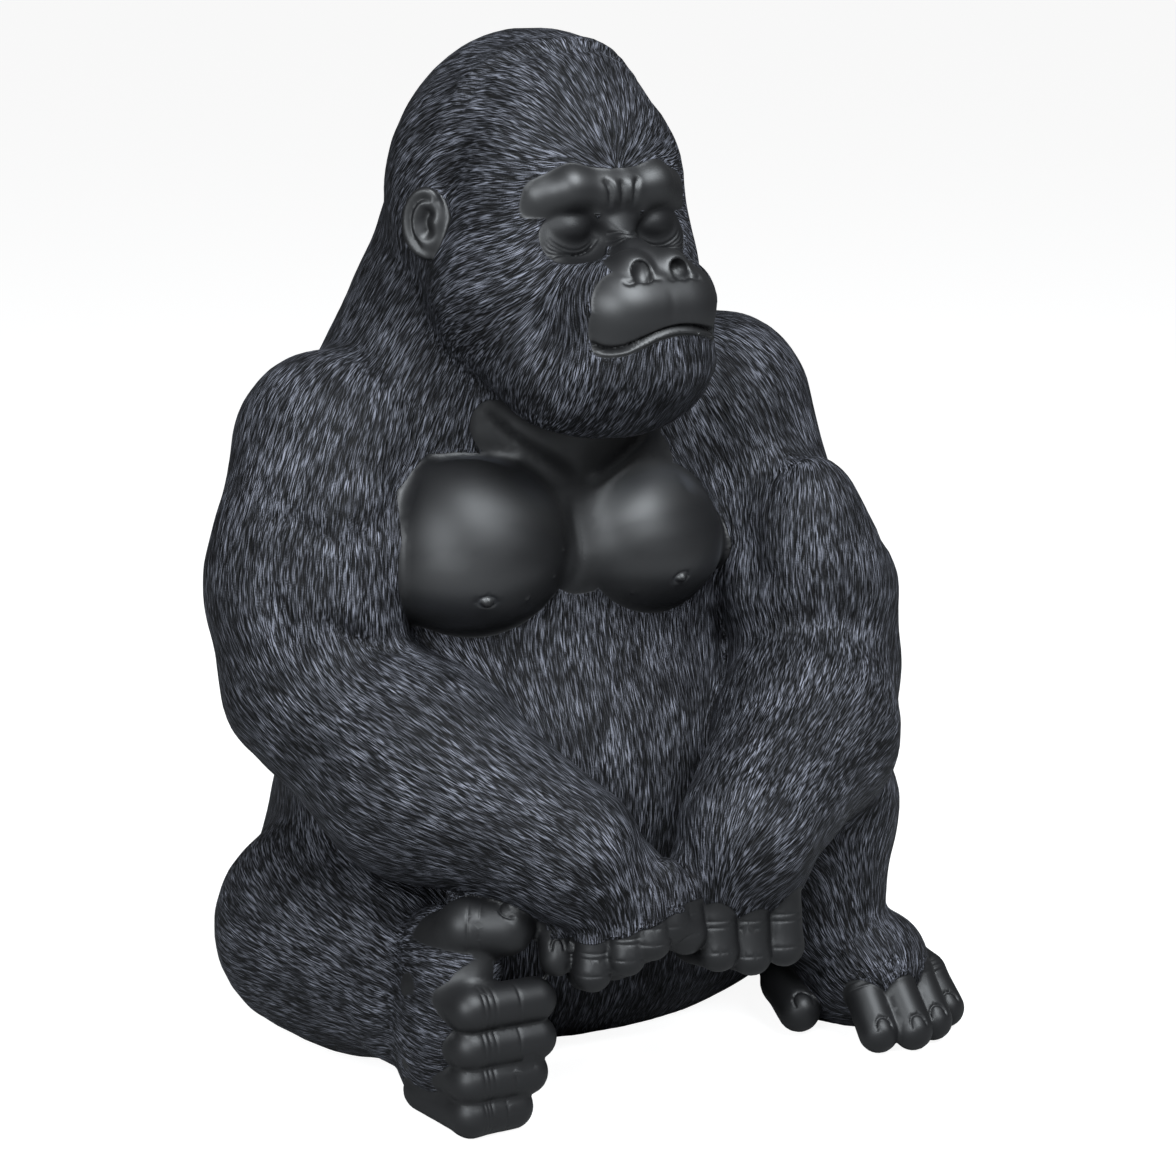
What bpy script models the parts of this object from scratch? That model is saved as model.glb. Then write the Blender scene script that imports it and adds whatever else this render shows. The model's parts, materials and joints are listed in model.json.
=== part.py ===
"""A seated gorilla figurine, cast in one piece with a flat underside.

The figure faces -Y, its left hand is at +X and it sits on the plane Z = 0. It is built as a sculptor would
block it out: rounded forms are set on a skeleton of landmarks, joined by a voxel remesh, settled onto the
soft union of the forms, and cut flat underneath.
"""

import math
from dataclasses import dataclass

import bmesh
import bpy
import numpy as np
from mathutils import Euler, Matrix, Vector

# Skeleton landmarks in metres. X is half of a left and right pair's spread, or 0 on the middle plane.
HIP = Vector((0.046, 0.048, 0.066))
BELLY = Vector((0.0, 0.004, 0.118))
CHEST = Vector((0.0, 0.012, 0.226))
SHOULDER = Vector((0.098, -0.004, 0.277))
NECK = Vector((0.0, 0.016, 0.330))
HEAD = Vector((-0.003, -0.036, 0.372))
HEAD_TURN = 8.0

RIGHT_ELBOW = Vector((-0.114, -0.022, 0.175))
LEFT_ELBOW = Vector((0.125, -0.052, 0.167))
RIGHT_WRIST = Vector((-0.040, -0.137, 0.119))
LEFT_WRIST = Vector((0.040, -0.146, 0.121))

RIGHT_KNEE = Vector((-0.102, -0.002, 0.056))
RIGHT_ANKLE = Vector((-0.086, -0.074, 0.046))
LEFT_KNEE = Vector((0.116, -0.066, 0.104))
LEFT_ANKLE = Vector((0.118, -0.080, 0.052))

# Width of the fillet round a form that isn't given its own.
FILLET = 0.008

# How coarse the first and the last voxel remesh are, and how many triangles the finished casting has.
ROUGH_VOXEL = 0.0034
FINE_VOXEL = 0.0022
TRIANGLES = 11400

RESIN_COLOUR = (0.014, 0.015, 0.018)
RESIN_ROUGHNESS = 0.42

# Limits of the settling: distance where nothing is near, how far outside a form still counts, one step.
FAR = 1.0
REACH = 0.010
LONGEST_STEP = 0.003


@dataclass(frozen=True)
class Form:
    """A rounded form: an ellipsoid where end is None, and otherwise a tapered limb with round ends."""

    centre: Vector
    radii: tuple
    end: Vector | None
    turn: tuple
    blend: float
    carve: bool

    def rotation(self):
        """The turn as a rotation matrix."""
        return Euler([math.radians(a) for a in self.turn]).to_matrix()

    def moved(self, frame):
        """This form carried from a local frame into the figure's frame."""
        turned = (frame.to_3x3() @ self.rotation()).to_euler()
        return Form(
            frame @ self.centre,
            self.radii,
            frame @ self.end if self.end else None,
            tuple(math.degrees(a) for a in turned),
            self.blend,
            self.carve,
        )

    def mirrored(self):
        """This form on the other side of the middle plane."""
        flip = Vector((-1.0, 1.0, 1.0))
        x, y, z = self.turn
        return Form(
            self.centre * flip,
            self.radii,
            self.end * flip if self.end else None,
            (x, -y, -z),
            self.blend,
            self.carve,
        )

    def distance(self, points):
        """Distance from each point to the surface, and the outward direction there."""
        if self.end is not None:
            start, end = np.array(self.centre), np.array(self.end)
            axis = end - start
            along = np.clip((points - start) @ axis / (axis @ axis), 0.0, 1.0)
            offset = points - start - along[:, None] * axis
            length = np.maximum(np.linalg.norm(offset, axis=1), 1e-9)
            radius = self.radii[0] + along * (self.radii[1] - self.radii[0])
            return length - radius, offset / length[:, None]
        rotation, radii = np.array(self.rotation()), np.array(self.radii)
        local = (points - np.array(self.centre)) @ rotation
        scaled = np.linalg.norm(local / radii, axis=1)
        slope = local / radii**2
        steepness = np.maximum(np.linalg.norm(slope, axis=1), 1e-6)
        return scaled * (scaled - 1.0) / steepness, (slope / steepness[:, None]) @ rotation.T

    def near(self, points):
        """The points that lie close enough for this form to matter."""
        reach = max(self.radii) + self.blend + REACH
        if self.end is None:
            return np.flatnonzero(np.linalg.norm(points - np.array(self.centre), axis=1) < reach)
        middle = np.array((self.centre + self.end) / 2)
        reach += (self.end - self.centre).length / 2
        return np.flatnonzero(np.linalg.norm(points - middle, axis=1) < reach)


def blob(centre, radii, turn=(0.0, 0.0, 0.0), blend=FILLET, carve=False):
    """An ellipsoid."""
    return Form(Vector(centre), tuple(radii), None, turn, blend, carve)


def limb(start, end, radii, blend=FILLET, carve=False):
    """A tapered limb between two points, with its radius at each."""
    return Form(Vector(start), tuple(radii), Vector(end), (0.0, 0.0, 0.0), blend, carve)


def both_sides(forms):
    """The forms given for the left side, and their mirror images."""
    return forms + [f.mirrored() for f in forms]


def at(landmark, x=0.0, y=0.0, z=0.0):
    """A point offset from a landmark."""
    return landmark + Vector((x, y, z))


def torso():
    """Rump, belly, ribcage, back and shoulders."""
    neck_side = at(NECK, x=0.032, z=-0.016)
    shoulder_blade = blob(at(CHEST, x=0.050, y=0.052, z=0.034), (0.040, 0.028, 0.052), (0, 0, -12), 0.016)
    return [
        blob(at(HIP, x=0.010 - HIP.x, y=-0.032, z=-0.022), (0.142, 0.086, 0.060), blend=0.03),
        blob(at(HIP, x=-HIP.x, z=0.012), (0.106, 0.082, 0.092), blend=0.03),
        blob(BELLY, (0.110, 0.092, 0.100), blend=0.03),
        blob(CHEST, (0.109, 0.076, 0.092), blend=0.03),
        blob(at(CHEST, y=0.030, z=-0.044), (0.106, 0.068, 0.084), blend=0.03),
        blob(at(CHEST, y=0.030, z=0.040), (0.088, 0.056, 0.070), blend=0.03),
        *both_sides([shoulder_blade]),
        limb(at(NECK, y=-0.004, z=0.050), at(NECK, y=0.006, z=-0.020), (0.057, 0.076), 0.02),
        *both_sides([limb(neck_side, at(SHOULDER, x=-0.024, y=0.008, z=0.002), (0.046, 0.038), 0.02)]),
    ]


def chest():
    """The two bare breasts, the hollow of the throat and the collar bones."""
    bone = at(CHEST, x=-0.005)
    notch = at(bone, x=0.002, y=-0.060, z=0.034)
    bone_top = at(bone, x=0.002, y=-0.050, z=0.036)
    return [
        limb(at(NECK, y=-0.034, z=0.006), at(CHEST, y=-0.020, z=0.044), (0.044, 0.047), 0.014),
        limb(bone_top, at(bone, x=0.003, y=-0.062, z=0.002), (0.016, 0.016), 0.012),
        blob(at(bone, x=-0.039, y=-0.050, z=0.014), (0.042, 0.036, 0.036), (0, 0, -14), 0.006),
        blob(at(bone, x=-0.041, y=-0.054, z=0.003), (0.040, 0.037, 0.029), (0, 0, -14), 0.014),
        blob(at(bone, x=-0.048, y=-0.046, z=0.021), (0.031, 0.030, 0.024), (0, 12, -14), 0.016),
        blob(at(bone, x=0.038, y=-0.048, z=0.011), (0.041, 0.036, 0.034), (0, 0, 14), 0.006),
        blob(at(bone, x=0.042, y=-0.053, z=0.001), (0.041, 0.036, 0.026), (0, 0, 14), 0.014),
        limb(notch, at(NECK, x=-0.036, y=-0.037, z=-0.032), (0.005, 0.009), 0.008),
        limb(notch, at(NECK, x=0.038, y=-0.057, z=-0.047), (0.005, 0.007), 0.008),
    ]


def arm(elbow, wrist, side):
    """Deltoid, upper arm, elbow and forearm. Side is 1 for the figure's left and -1 for its right."""
    left = side > 0
    shift = (-0.001, 0.0, 0.005) if left else (0.002, 0.0, -0.002)
    shoulder = at(SHOULDER * Vector((side, 1.0, 1.0)), *shift)
    cap = 0.009 if left else -0.015
    belly = 0.039 if left else 0.045
    middle = elbow.lerp(wrist, 0.42) + Vector((0.009, 0.0, -0.002) if left else (0.002, 0.0, -0.009))
    return [
        blob(shoulder, (0.043, 0.043, 0.045), blend=0.016),
        blob(at(shoulder, x=cap, y=-0.010, z=-0.024), (0.036, 0.036, 0.038), blend=0.010),
        limb(at(shoulder, x=0.004 * side, z=-0.030), at(elbow, z=0.034), (0.037, 0.037), 0.012),
        blob(at(elbow, x=-0.012 * side, y=-0.015, z=0.054), (0.027, 0.025, 0.046), blend=0.018),
        blob(at(elbow, x=-0.010, y=0.006, z=0.044), (0.034, 0.034, 0.048), blend=0.010),
        limb(elbow, middle, (0.039, belly), 0.012),
        limb(middle, wrist, (belly, 0.030), 0.012),
    ]


def finger(root, steps, radius, blend=0.003):
    """A bent finger or toe through points given from a landmark."""
    points = [at(root, *step) for step in steps]
    return [limb(a, b, (radius, radius), blend) for a, b in zip(points, points[1:])]


def right_hand():
    """A loose fist whose knuckles slope up to the figure's left, with the thumb under the first finger."""
    fingers = [
        ((0.006, -0.011, -0.027), (0.003, -0.015, -0.049), (0.008, 0.003, -0.055)),
        ((0.017, -0.017, -0.021), (0.016, -0.021, -0.042), (0.02, -0.001, -0.051)),
        ((0.027, -0.019, -0.015), (0.027, -0.023, -0.036), (0.03, -0.003, -0.045)),
        ((0.036, -0.017, -0.011), (0.037, -0.02, -0.03), (0.038, -0.001, -0.039)),
    ]
    thumb = [(-0.006, 0.005, -0.027), (-0.008, -0.003, -0.045)]
    forms = [
        blob(at(RIGHT_WRIST, x=0.016, y=-0.006, z=-0.016), (0.027, 0.021, 0.024), (0, 20, 0)),
        *finger(RIGHT_WRIST, thumb, 0.0075),
    ]
    for steps in fingers:
        forms += finger(RIGHT_WRIST, steps, 0.0080, 0.002)
    return forms


def left_hand():
    """A loose fist with its four fingers side by side, seen from the back of the hand."""
    forms = [blob(at(LEFT_WRIST, x=-0.003, y=0.002, z=-0.016), (0.033, 0.020, 0.024))]
    for across, bottom in ((-0.034, -0.039), (-0.018, -0.049), (-0.002, -0.053), (0.014, -0.051)):
        steps = [(across, -0.004, -0.021), (across, -0.008, bottom), (across, 0.016, bottom - 0.004)]
        forms += finger(LEFT_WRIST, steps, 0.0087, 0.002)
    return forms


def right_leg():
    """Thigh out to the side, knee on the ground and shin folded forward."""
    hip = HIP * Vector((-1.0, 1.0, 1.0))
    return [
        limb(hip, RIGHT_KNEE, (0.056, 0.046), 0.02),
        limb(RIGHT_KNEE, RIGHT_ANKLE, (0.046, 0.034), 0.014),
        blob(RIGHT_KNEE.lerp(RIGHT_ANKLE, 0.4), (0.038, 0.048, 0.046), (0, 0, 20), 0.012),
    ]


def right_foot():
    """A foot standing on its outer edge with its toes curled towards the other foot."""
    ankle = RIGHT_ANKLE
    forms = [
        blob(at(ankle, y=-0.026, z=-0.003), (0.021, 0.040, 0.046), (0, 0, -14), 0.010),
        blob(at(ankle, x=0.010, y=0.012, z=-0.012), (0.024, 0.028, 0.034), blend=0.010),
        blob(at(ankle, x=0.004, y=-0.038, z=0.024), (0.018, 0.024, 0.022)),
    ]
    for drop, tip in ((0.011, 0.029), (-0.006, 0.029), (-0.021, 0.025), (-0.0355, 0.018)):
        steps = [(-0.013, -0.040, drop + 0.004), (-0.002, -0.066, drop), (tip, -0.062, drop - 0.001)]
        forms += finger(ankle, steps, 0.0098, 0.002)
    big_toe = [(-0.003, -0.032, 0.028), (0.003, -0.050, 0.042), (0.018, -0.058, 0.042)]
    forms += finger(ankle, big_toe, 0.0120)
    ball = at(ankle, x=0.008, y=-0.050, z=0.034)
    forms.append(limb(ball, at(ankle, y=-0.058, z=0.016), (0.009, 0.009), 0.004))
    return forms


def left_leg():
    """Thigh forward and out, knee raised and shin down to the foot."""
    return [
        limb(HIP, LEFT_KNEE, (0.058, 0.038), 0.02),
        limb(LEFT_KNEE, LEFT_ANKLE, (0.036, 0.026), 0.012),
        blob(at(LEFT_KNEE, y=0.022, z=-0.040), (0.032, 0.034, 0.044), (0, 0, 0), 0.012),
    ]


def left_foot():
    """A foot flat on the ground with its big toe held apart."""
    ankle = LEFT_ANKLE
    forms = [
        blob(at(ankle, x=0.016, y=-0.004, z=-0.024), (0.030, 0.037, 0.028), (-18, 0, -14), 0.010),
        blob(at(ankle, x=0.010, y=0.024, z=-0.028), (0.028, 0.034, 0.028), blend=0.010),
    ]
    toes = (
        ((-0.002, -0.011, -0.018), (0.002, -0.028, -0.024), (0.002, -0.044, -0.042)),
        ((0.012, -0.012, -0.015), (0.016, -0.030, -0.021), (0.018, -0.0475, -0.042)),
        ((0.026, -0.010, -0.016), (0.031, -0.025, -0.023), (0.033, -0.040, -0.042)),
        ((0.038, -0.004, -0.021), (0.044, -0.015, -0.028), (0.048, -0.026, -0.0425)),
    )
    for steps in toes:
        forms += finger(ankle, steps, 0.0092, 0.002)
    big_toe = [(-0.010, 0.030, -0.028), (-0.017, 0.012, -0.033), (-0.019, -0.007, -0.040)]
    forms += finger(ankle, big_toe, 0.0100)
    return forms


def head():
    """Cranium with its crest, brow, cheeks, jaw, muzzle, nose and ears, in the head's own frame."""
    frame = Matrix.Translation(HEAD) @ Matrix.Rotation(math.radians(HEAD_TURN), 4, "Z")
    ear = (0, 0, -35)
    middle = [
        blob((0.0, 0.022, 0.017), (0.061, 0.062, 0.064), blend=0.014),
        blob((0.001, 0.013, 0.041), (0.048, 0.055, 0.0455), blend=0.012),
        blob((0.0, -0.016, 0.020), (0.054, 0.036, 0.050), blend=0.004),
        blob((0.0, -0.010, -0.020), (0.062, 0.054, 0.054), blend=0.012),
        blob((0.0, -0.042, -0.054), (0.050, 0.042, 0.032), blend=0.012),
        blob((0.0, -0.062, -0.025), (0.030, 0.031, 0.019), blend=0.010),
        blob((0.0, -0.068, -0.051), (0.037, 0.024, 0.019), blend=0.006),
        limb((0.0, -0.046, 0.014), (0.0, -0.058, 0.001), (0.0085, 0.0085), 0.005),
        limb((0.0, -0.058, 0.001), (0.0, -0.072, -0.006), (0.0085, 0.0080), 0.005),
    ]
    sides = [
        blob((0.0150, -0.0650, -0.0265), (0.0190, 0.0270, 0.0190), blend=0.016),
        limb((0.0070, -0.0500, 0.0215), (0.0210, -0.0470, 0.0230), (0.0082, 0.0088), 0.003),
        limb((0.0210, -0.0470, 0.0230), (0.0310, -0.0380, 0.0190), (0.0088, 0.0076), 0.003),
        limb((0.0310, -0.0380, 0.0190), (0.0370, -0.0300, 0.0110), (0.0076, 0.0056), 0.003),
        blob((0.0210, -0.0600, 0.0030), (0.0150, 0.0140, 0.0100), blend=0.004, carve=True),
        blob((0.0225, -0.0405, -0.0005), (0.0170, 0.0105, 0.0130), blend=0.003),
        blob((0.0210, -0.0420, 0.0060), (0.0108, 0.0115, 0.0088), blend=0.001),
        blob((0.0090, -0.0765, -0.0105), (0.0090, 0.0105, 0.0090), blend=0.003),
        blob((0.0094, -0.0860, -0.0090), (0.0046, 0.0090, 0.0042), blend=0.0015, carve=True),
        blob((0.0634, 0.0030, 0.0070), (0.0060, 0.0115, 0.0165), ear, 0.003),
        blob((0.0690, -0.0035, 0.0080), (0.0050, 0.0055, 0.0090), ear, 0.003, carve=True),
    ]
    return [f.moved(frame) for f in middle + both_sides(sides)]


def sculpture():
    """The figure as groups of forms, each with the width of the blend that joins it to those before it."""
    return [
        (0.0, torso()),
        (0.005, chest()),
        (0.008, head()),
        (0.010, right_leg()),
        (0.010, left_leg()),
        (0.007, arm(RIGHT_ELBOW, RIGHT_WRIST, -1)),
        (0.007, arm(LEFT_ELBOW, LEFT_WRIST, 1)),
        (0.005, right_hand()),
        (0.005, left_hand()),
        (0.005, right_foot()),
        (0.005, left_foot()),
    ]


def soft_join(first, second, blend):
    """Joins two sets of (distance, direction) with a fillet of about the blend's width."""
    share = np.clip(0.5 + 0.5 * (second[0] - first[0]) / blend, 0.0, 1.0)
    distance = second[0] * (1 - share) + first[0] * share - blend * share * (1 - share)
    return distance, second[1] * (1 - share)[:, None] + first[1] * share[:, None]


def soft_carve(body, tool, blend):
    """Takes a tool's (distance, direction) out of a body's."""
    share = np.clip(0.5 - 0.5 * (body[0] + tool[0]) / blend, 0.0, 1.0)
    distance = body[0] * (1 - share) - tool[0] * share + blend * share * (1 - share)
    return distance, body[1] * (1 - share)[:, None] - tool[1] * share[:, None]


def measure_group(forms, points):
    """Distance and direction from each point to the soft union of one group of forms."""
    distance, direction = np.full(len(points), FAR), np.zeros_like(points)
    for form in forms:
        near = form.near(points)
        if len(near) == 0:
            continue
        here = distance[near], direction[near]
        join = soft_carve if form.carve else soft_join
        distance[near], direction[near] = join(here, form.distance(points[near]), form.blend)
    return distance, direction


def measure(groups, points):
    """Distance and direction from each point to the whole figure."""
    total = None
    for blend, forms in groups:
        found = measure_group(forms, points)
        total = found if total is None else soft_join(total, found, blend)
    length = np.maximum(np.linalg.norm(total[1], axis=1), 1e-9)
    return total[0], total[1] / length[:, None]


def settle(mesh, groups, rounds=4):
    """Moves a mesh's points onto the figure's surface."""
    points = np.empty(len(mesh.vertices) * 3)
    mesh.vertices.foreach_get("co", points)
    points = points.reshape(-1, 3)
    for _ in range(rounds):
        distance, direction = measure(groups, points)
        points -= np.clip(distance, -LONGEST_STEP, LONGEST_STEP)[:, None] * direction
    mesh.vertices.foreach_set("co", points.ravel())
    mesh.update()


def add_form(bm, form):
    """Adds one form to a mesh: a stretched sphere, or the hull of two spheres."""
    if form.end is None:
        matrix = Matrix.LocRotScale(form.centre, form.rotation(), Vector(form.radii))
        bmesh.ops.create_icosphere(bm, subdivisions=3, radius=1.0, matrix=matrix)
        return
    for place, radius in ((form.centre, form.radii[0]), (form.end, form.radii[1])):
        matrix = Matrix.LocRotScale(place, None, Vector((radius,) * 3))
        bmesh.ops.create_icosphere(bm, subdivisions=2, radius=1.0, matrix=matrix)
    bmesh.ops.delete(bm, geom=bm.faces[:], context="FACES_ONLY")
    bmesh.ops.convex_hull(bm, input=bm.verts[:])
    bmesh.ops.delete(bm, geom=[v for v in bm.verts if not v.link_faces], context="VERTS")


def block_out(groups):
    """One mesh with every form in it, still overlapping."""
    bm = bmesh.new()
    for _, forms in groups:
        for form in forms:
            if not form.carve:
                part = bmesh.new()
                add_form(part, form)
                lump = bpy.data.meshes.new("lump")
                part.to_mesh(lump)
                part.free()
                bm.from_mesh(lump)
                bpy.data.meshes.remove(lump)
    mesh = bpy.data.meshes.new("blockout")
    bm.to_mesh(mesh)
    bm.free()
    return mesh


def modified(mesh, kind, **settings):
    """A new mesh: this one with one modifier applied."""
    worker = bpy.data.objects.new("worker", mesh)
    bpy.context.scene.collection.objects.link(worker)
    modifier = worker.modifiers.new(kind.title(), kind)
    for name, value in settings.items():
        setattr(modifier, name, value)
    graph = bpy.context.evaluated_depsgraph_get()
    result = bpy.data.meshes.new_from_object(worker.evaluated_get(graph))
    bpy.data.objects.remove(worker)
    return result


def cast(groups):
    """The whole figure as one closed mesh of about the wanted number of triangles."""
    mesh = block_out(groups)
    for voxel in (ROUGH_VOXEL, FINE_VOXEL):
        mesh = modified(mesh, "REMESH", mode="VOXEL", voxel_size=voxel)
        settle(mesh, groups)
    return modified(mesh, "DECIMATE", ratio=TRIANGLES / (2 * len(mesh.polygons)))


def flatten_underside(mesh):
    """Cuts the mesh at the ground and closes the cut."""
    bm = bmesh.new()
    bm.from_mesh(mesh)
    everything = bm.verts[:] + bm.edges[:] + bm.faces[:]
    down = (0, 0, -1)
    cut = bmesh.ops.bisect_plane(bm, geom=everything, plane_co=(0, 0, 0), plane_no=down, clear_outer=True)
    rim = [g for g in cut["geom_cut"] if isinstance(g, bmesh.types.BMEdge)]
    bmesh.ops.holes_fill(bm, edges=rim)
    bmesh.ops.triangulate(bm, faces=bm.faces[:])
    bmesh.ops.recalc_face_normals(bm, faces=bm.faces[:])
    bm.to_mesh(mesh)
    bm.free()


def centre_footprint(mesh):
    """Moves the mesh so that its bounding box's bottom face is centred on the origin."""
    across = [v.co.x for v in mesh.vertices]
    along = [v.co.y for v in mesh.vertices]
    middle = Vector((min(across) + max(across), min(along) + max(along), 0.0)) / 2
    mesh.transform(Matrix.Translation(-middle))


def resin():
    """Satin black paint over the cast."""
    material = bpy.data.materials.new("resin")
    material.use_nodes = True
    shader = material.node_tree.nodes["Principled BSDF"]
    shader.inputs["Base Color"].default_value = (*RESIN_COLOUR, 1.0)
    shader.inputs["Roughness"].default_value = RESIN_ROUGHNESS
    shader.inputs["Metallic"].default_value = 0.0
    return material


def main():
    """Clears the scene and models the figurine."""
    for old in list(bpy.data.objects):
        bpy.data.objects.remove(old)
    mesh = cast(sculpture())
    flatten_underside(mesh)
    centre_footprint(mesh)
    mesh.shade_smooth()
    mesh.materials.append(resin())
    gorilla = bpy.data.objects.new("gorilla", mesh)
    bpy.context.scene.collection.objects.link(gorilla)
    return gorilla


if __name__ == "__main__":
    main()
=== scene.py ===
"""A seated gorilla figurine cast in resin, with carved hair and satin bare skin.

The figure faces -Y, its left hand is at +X and it sits on the plane Z = 0. Sizes are in metres. It is built
as a sculptor builds: rounded forms on a skeleton of landmarks, one skin over them all, then tool strokes for
the fine relief, and at last the hair, which a shader combs along the way the hair lies.
"""

import json
import logging
import math
from collections.abc import Sequence
from dataclasses import dataclass, field, replace
from enum import Enum

import bpy
import numpy as np
from mathutils import Euler, Matrix, Vector, noise

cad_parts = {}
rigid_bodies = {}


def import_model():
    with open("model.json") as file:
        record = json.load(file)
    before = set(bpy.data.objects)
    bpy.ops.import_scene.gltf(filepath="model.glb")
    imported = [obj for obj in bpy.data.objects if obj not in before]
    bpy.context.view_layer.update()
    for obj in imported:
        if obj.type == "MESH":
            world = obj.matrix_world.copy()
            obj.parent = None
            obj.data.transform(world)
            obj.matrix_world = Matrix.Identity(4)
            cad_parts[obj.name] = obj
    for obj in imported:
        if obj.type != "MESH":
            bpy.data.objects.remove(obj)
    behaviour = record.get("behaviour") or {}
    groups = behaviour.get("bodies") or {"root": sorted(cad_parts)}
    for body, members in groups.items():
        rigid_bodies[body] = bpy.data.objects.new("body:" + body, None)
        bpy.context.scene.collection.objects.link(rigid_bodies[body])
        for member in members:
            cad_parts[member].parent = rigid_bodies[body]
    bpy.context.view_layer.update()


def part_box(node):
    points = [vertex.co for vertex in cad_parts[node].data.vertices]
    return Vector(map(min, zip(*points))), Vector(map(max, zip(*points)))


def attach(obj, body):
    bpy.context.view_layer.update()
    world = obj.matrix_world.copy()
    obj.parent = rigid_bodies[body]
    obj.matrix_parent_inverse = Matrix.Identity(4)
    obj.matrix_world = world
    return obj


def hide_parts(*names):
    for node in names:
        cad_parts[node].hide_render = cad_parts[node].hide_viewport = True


LOG = logging.getLogger("gorilla")

# Skeleton landmarks in the sculptor's frame. A left and right pair is given for the left side.
HIP = Vector((0.046, 0.048, 0.066))
BELLY = Vector((0.0, 0.004, 0.118))
CHEST = Vector((0.0, 0.012, 0.226))
SHOULDER = Vector((0.098, -0.004, 0.277))
NECK = Vector((0.0, 0.016, 0.330))
HEAD = Vector((-0.003, -0.036, 0.372))
HEAD_TURN = 8.0
RIGHT_ELBOW = Vector((-0.114, -0.022, 0.175))
LEFT_ELBOW = Vector((0.125, -0.052, 0.167))
RIGHT_WRIST = Vector((-0.040, -0.137, 0.119))
LEFT_WRIST = Vector((0.040, -0.146, 0.121))
RIGHT_KNEE = Vector((-0.102, -0.002, 0.056))
RIGHT_ANKLE = Vector((-0.086, -0.074, 0.046))
LEFT_KNEE = Vector((0.116, -0.066, 0.104))
LEFT_ANKLE = Vector((0.118, -0.080, 0.052))

# Limits of the settling: the distance where nothing is near, how far outside a form still counts and the
# length of one step.
FAR = 1.0
REACH = 0.010
LONGEST_STEP = 0.003

# The greatest height of a point that stands on the ground, and the least that any other point is given.
GROUNDED = 1e-5
CLEAR_OF_GROUND = 2e-5

DOWN = Vector((0.0, 0.0, -1.0))

# The way from a finger or toe to someone in front of the figure's right hand.
TO_VIEWER = Vector((-0.3, -1.0, 0.35))

# How much of the paint's gloss the hands and feet keep, how much more the face and how much less the lids.
LIMB_SHINE = 0.14
FACE_SHINE = 0.10
LID_SHINE = 0.16

# Middle of the footprint in the sculptor's frame.
FOOTPRINT = Vector((0.00863, -0.02305, 0.0))

# A place or a way, typed in or worked out.
Place = Vector | tuple[float, ...]

# What a node's input takes: another node's output, a number or a colour.
Value = bpy.types.NodeSocket | float | tuple[float, ...]

# Some points' distances to a solid and the outward directions there.
Field = tuple[np.ndarray, np.ndarray]


class Cover(Enum):
    """What covers a form."""

    HAIR = "hair"
    SKIN = "skin"


@dataclass(frozen=True)
class Form:
    """A rounded form: an ellipsoid where end is None, and otherwise a tapered limb with round ends.

    comb is the way its hair lies, or with fan the point that its hair spreads away from.
    """

    centre: Vector
    radii: tuple[float, ...]
    end: Vector | None = None
    turn: tuple[float, ...] = (0.0, 0.0, 0.0)
    blend: float = 0.008
    carve: bool = False
    cover: Cover = Cover.HAIR
    comb: Vector | None = None
    fan: bool = False

    def rotation(self) -> Matrix:
        """Gives the turn as a rotation matrix."""
        return Euler([math.radians(a) for a in self.turn]).to_matrix()

    def moved(self, frame: Matrix) -> "Form":
        """Carries the form from a local frame into the figure's.

        Args:
            frame: The local frame.

        Returns:
            The form in the figure's frame.
        """
        turned = (frame.to_3x3() @ self.rotation()).to_euler()
        comb = self.comb
        if comb is not None:
            comb = frame @ comb if self.fan else frame.to_3x3() @ comb
        return replace(
            self,
            centre=frame @ self.centre,
            end=frame @ self.end if self.end else None,
            turn=tuple(math.degrees(a) for a in turned),
            comb=comb,
        )

    def mirrored(self) -> "Form":
        """Gives this form on the other side of the middle plane."""
        flip = Vector((-1.0, 1.0, 1.0))
        x, y, z = self.turn
        return replace(
            self,
            centre=self.centre * flip,
            end=self.end * flip if self.end else None,
            turn=(x, -y, -z),
            comb=self.comb * flip if self.comb else None,
        )

    def distance(self, points: np.ndarray) -> Field:
        """Measures the form from points.

        Args:
            points: One point a row.

        Returns:
            Each point's distance to the surface, negative inside, and the outward direction there.
        """
        if self.end is not None:
            start, end = np.array(self.centre), np.array(self.end)
            axis = end - start
            along = np.clip((points - start) @ axis / (axis @ axis), 0.0, 1.0)
            offset = points - start - along[:, None] * axis
            length = np.maximum(np.linalg.norm(offset, axis=1), 1e-9)
            radius = self.radii[0] + along * (self.radii[1] - self.radii[0])
            return length - radius, offset / length[:, None]
        rotation, radii = np.array(self.rotation()), np.array(self.radii)
        local = (points - np.array(self.centre)) @ rotation
        scaled = np.linalg.norm(local / radii, axis=1)
        slope = local / radii**2
        steepness = np.maximum(np.linalg.norm(slope, axis=1), 1e-6)
        return scaled * (scaled - 1.0) / steepness, (slope / steepness[:, None]) @ rotation.T

    def near(self, points: np.ndarray) -> np.ndarray:
        """Lists the rows of points that lie close enough for this form to matter."""
        reach = max(self.radii) + self.blend + REACH
        if self.end is None:
            return np.flatnonzero(np.linalg.norm(points - np.array(self.centre), axis=1) < reach)
        middle = np.array((self.centre + self.end) / 2)
        reach += (self.end - self.centre).length / 2
        return np.flatnonzero(np.linalg.norm(points - middle, axis=1) < reach)

    def lie(self, points: np.ndarray) -> np.ndarray:
        """Gives the way the form's hair lies at each point, not yet laid into the surface."""
        if self.fan:
            away = points - np.array(self.comb)
            return away / np.maximum(np.linalg.norm(away, axis=1), 1e-6)[:, None]
        way = self.comb if self.comb is not None else (self.end - self.centre if self.end else DOWN)
        return np.tile(np.array(way.normalized()), (len(points), 1))


def blob(centre: Place, radii: Place, turn: Place = (0.0, 0.0, 0.0), blend: float = 0.008, **more) -> Form:
    """Gives an ellipsoid.

    Args:
        centre: Its middle.
        radii: Its three radii.
        turn: Its turn about the three axes, in degrees.
        blend: The width of the fillet that joins it to the forms before it.
        more: The form's other fields.

    Returns:
        The form.
    """
    return Form(Vector(centre), tuple(radii), None, turn, blend, **more)


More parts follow.
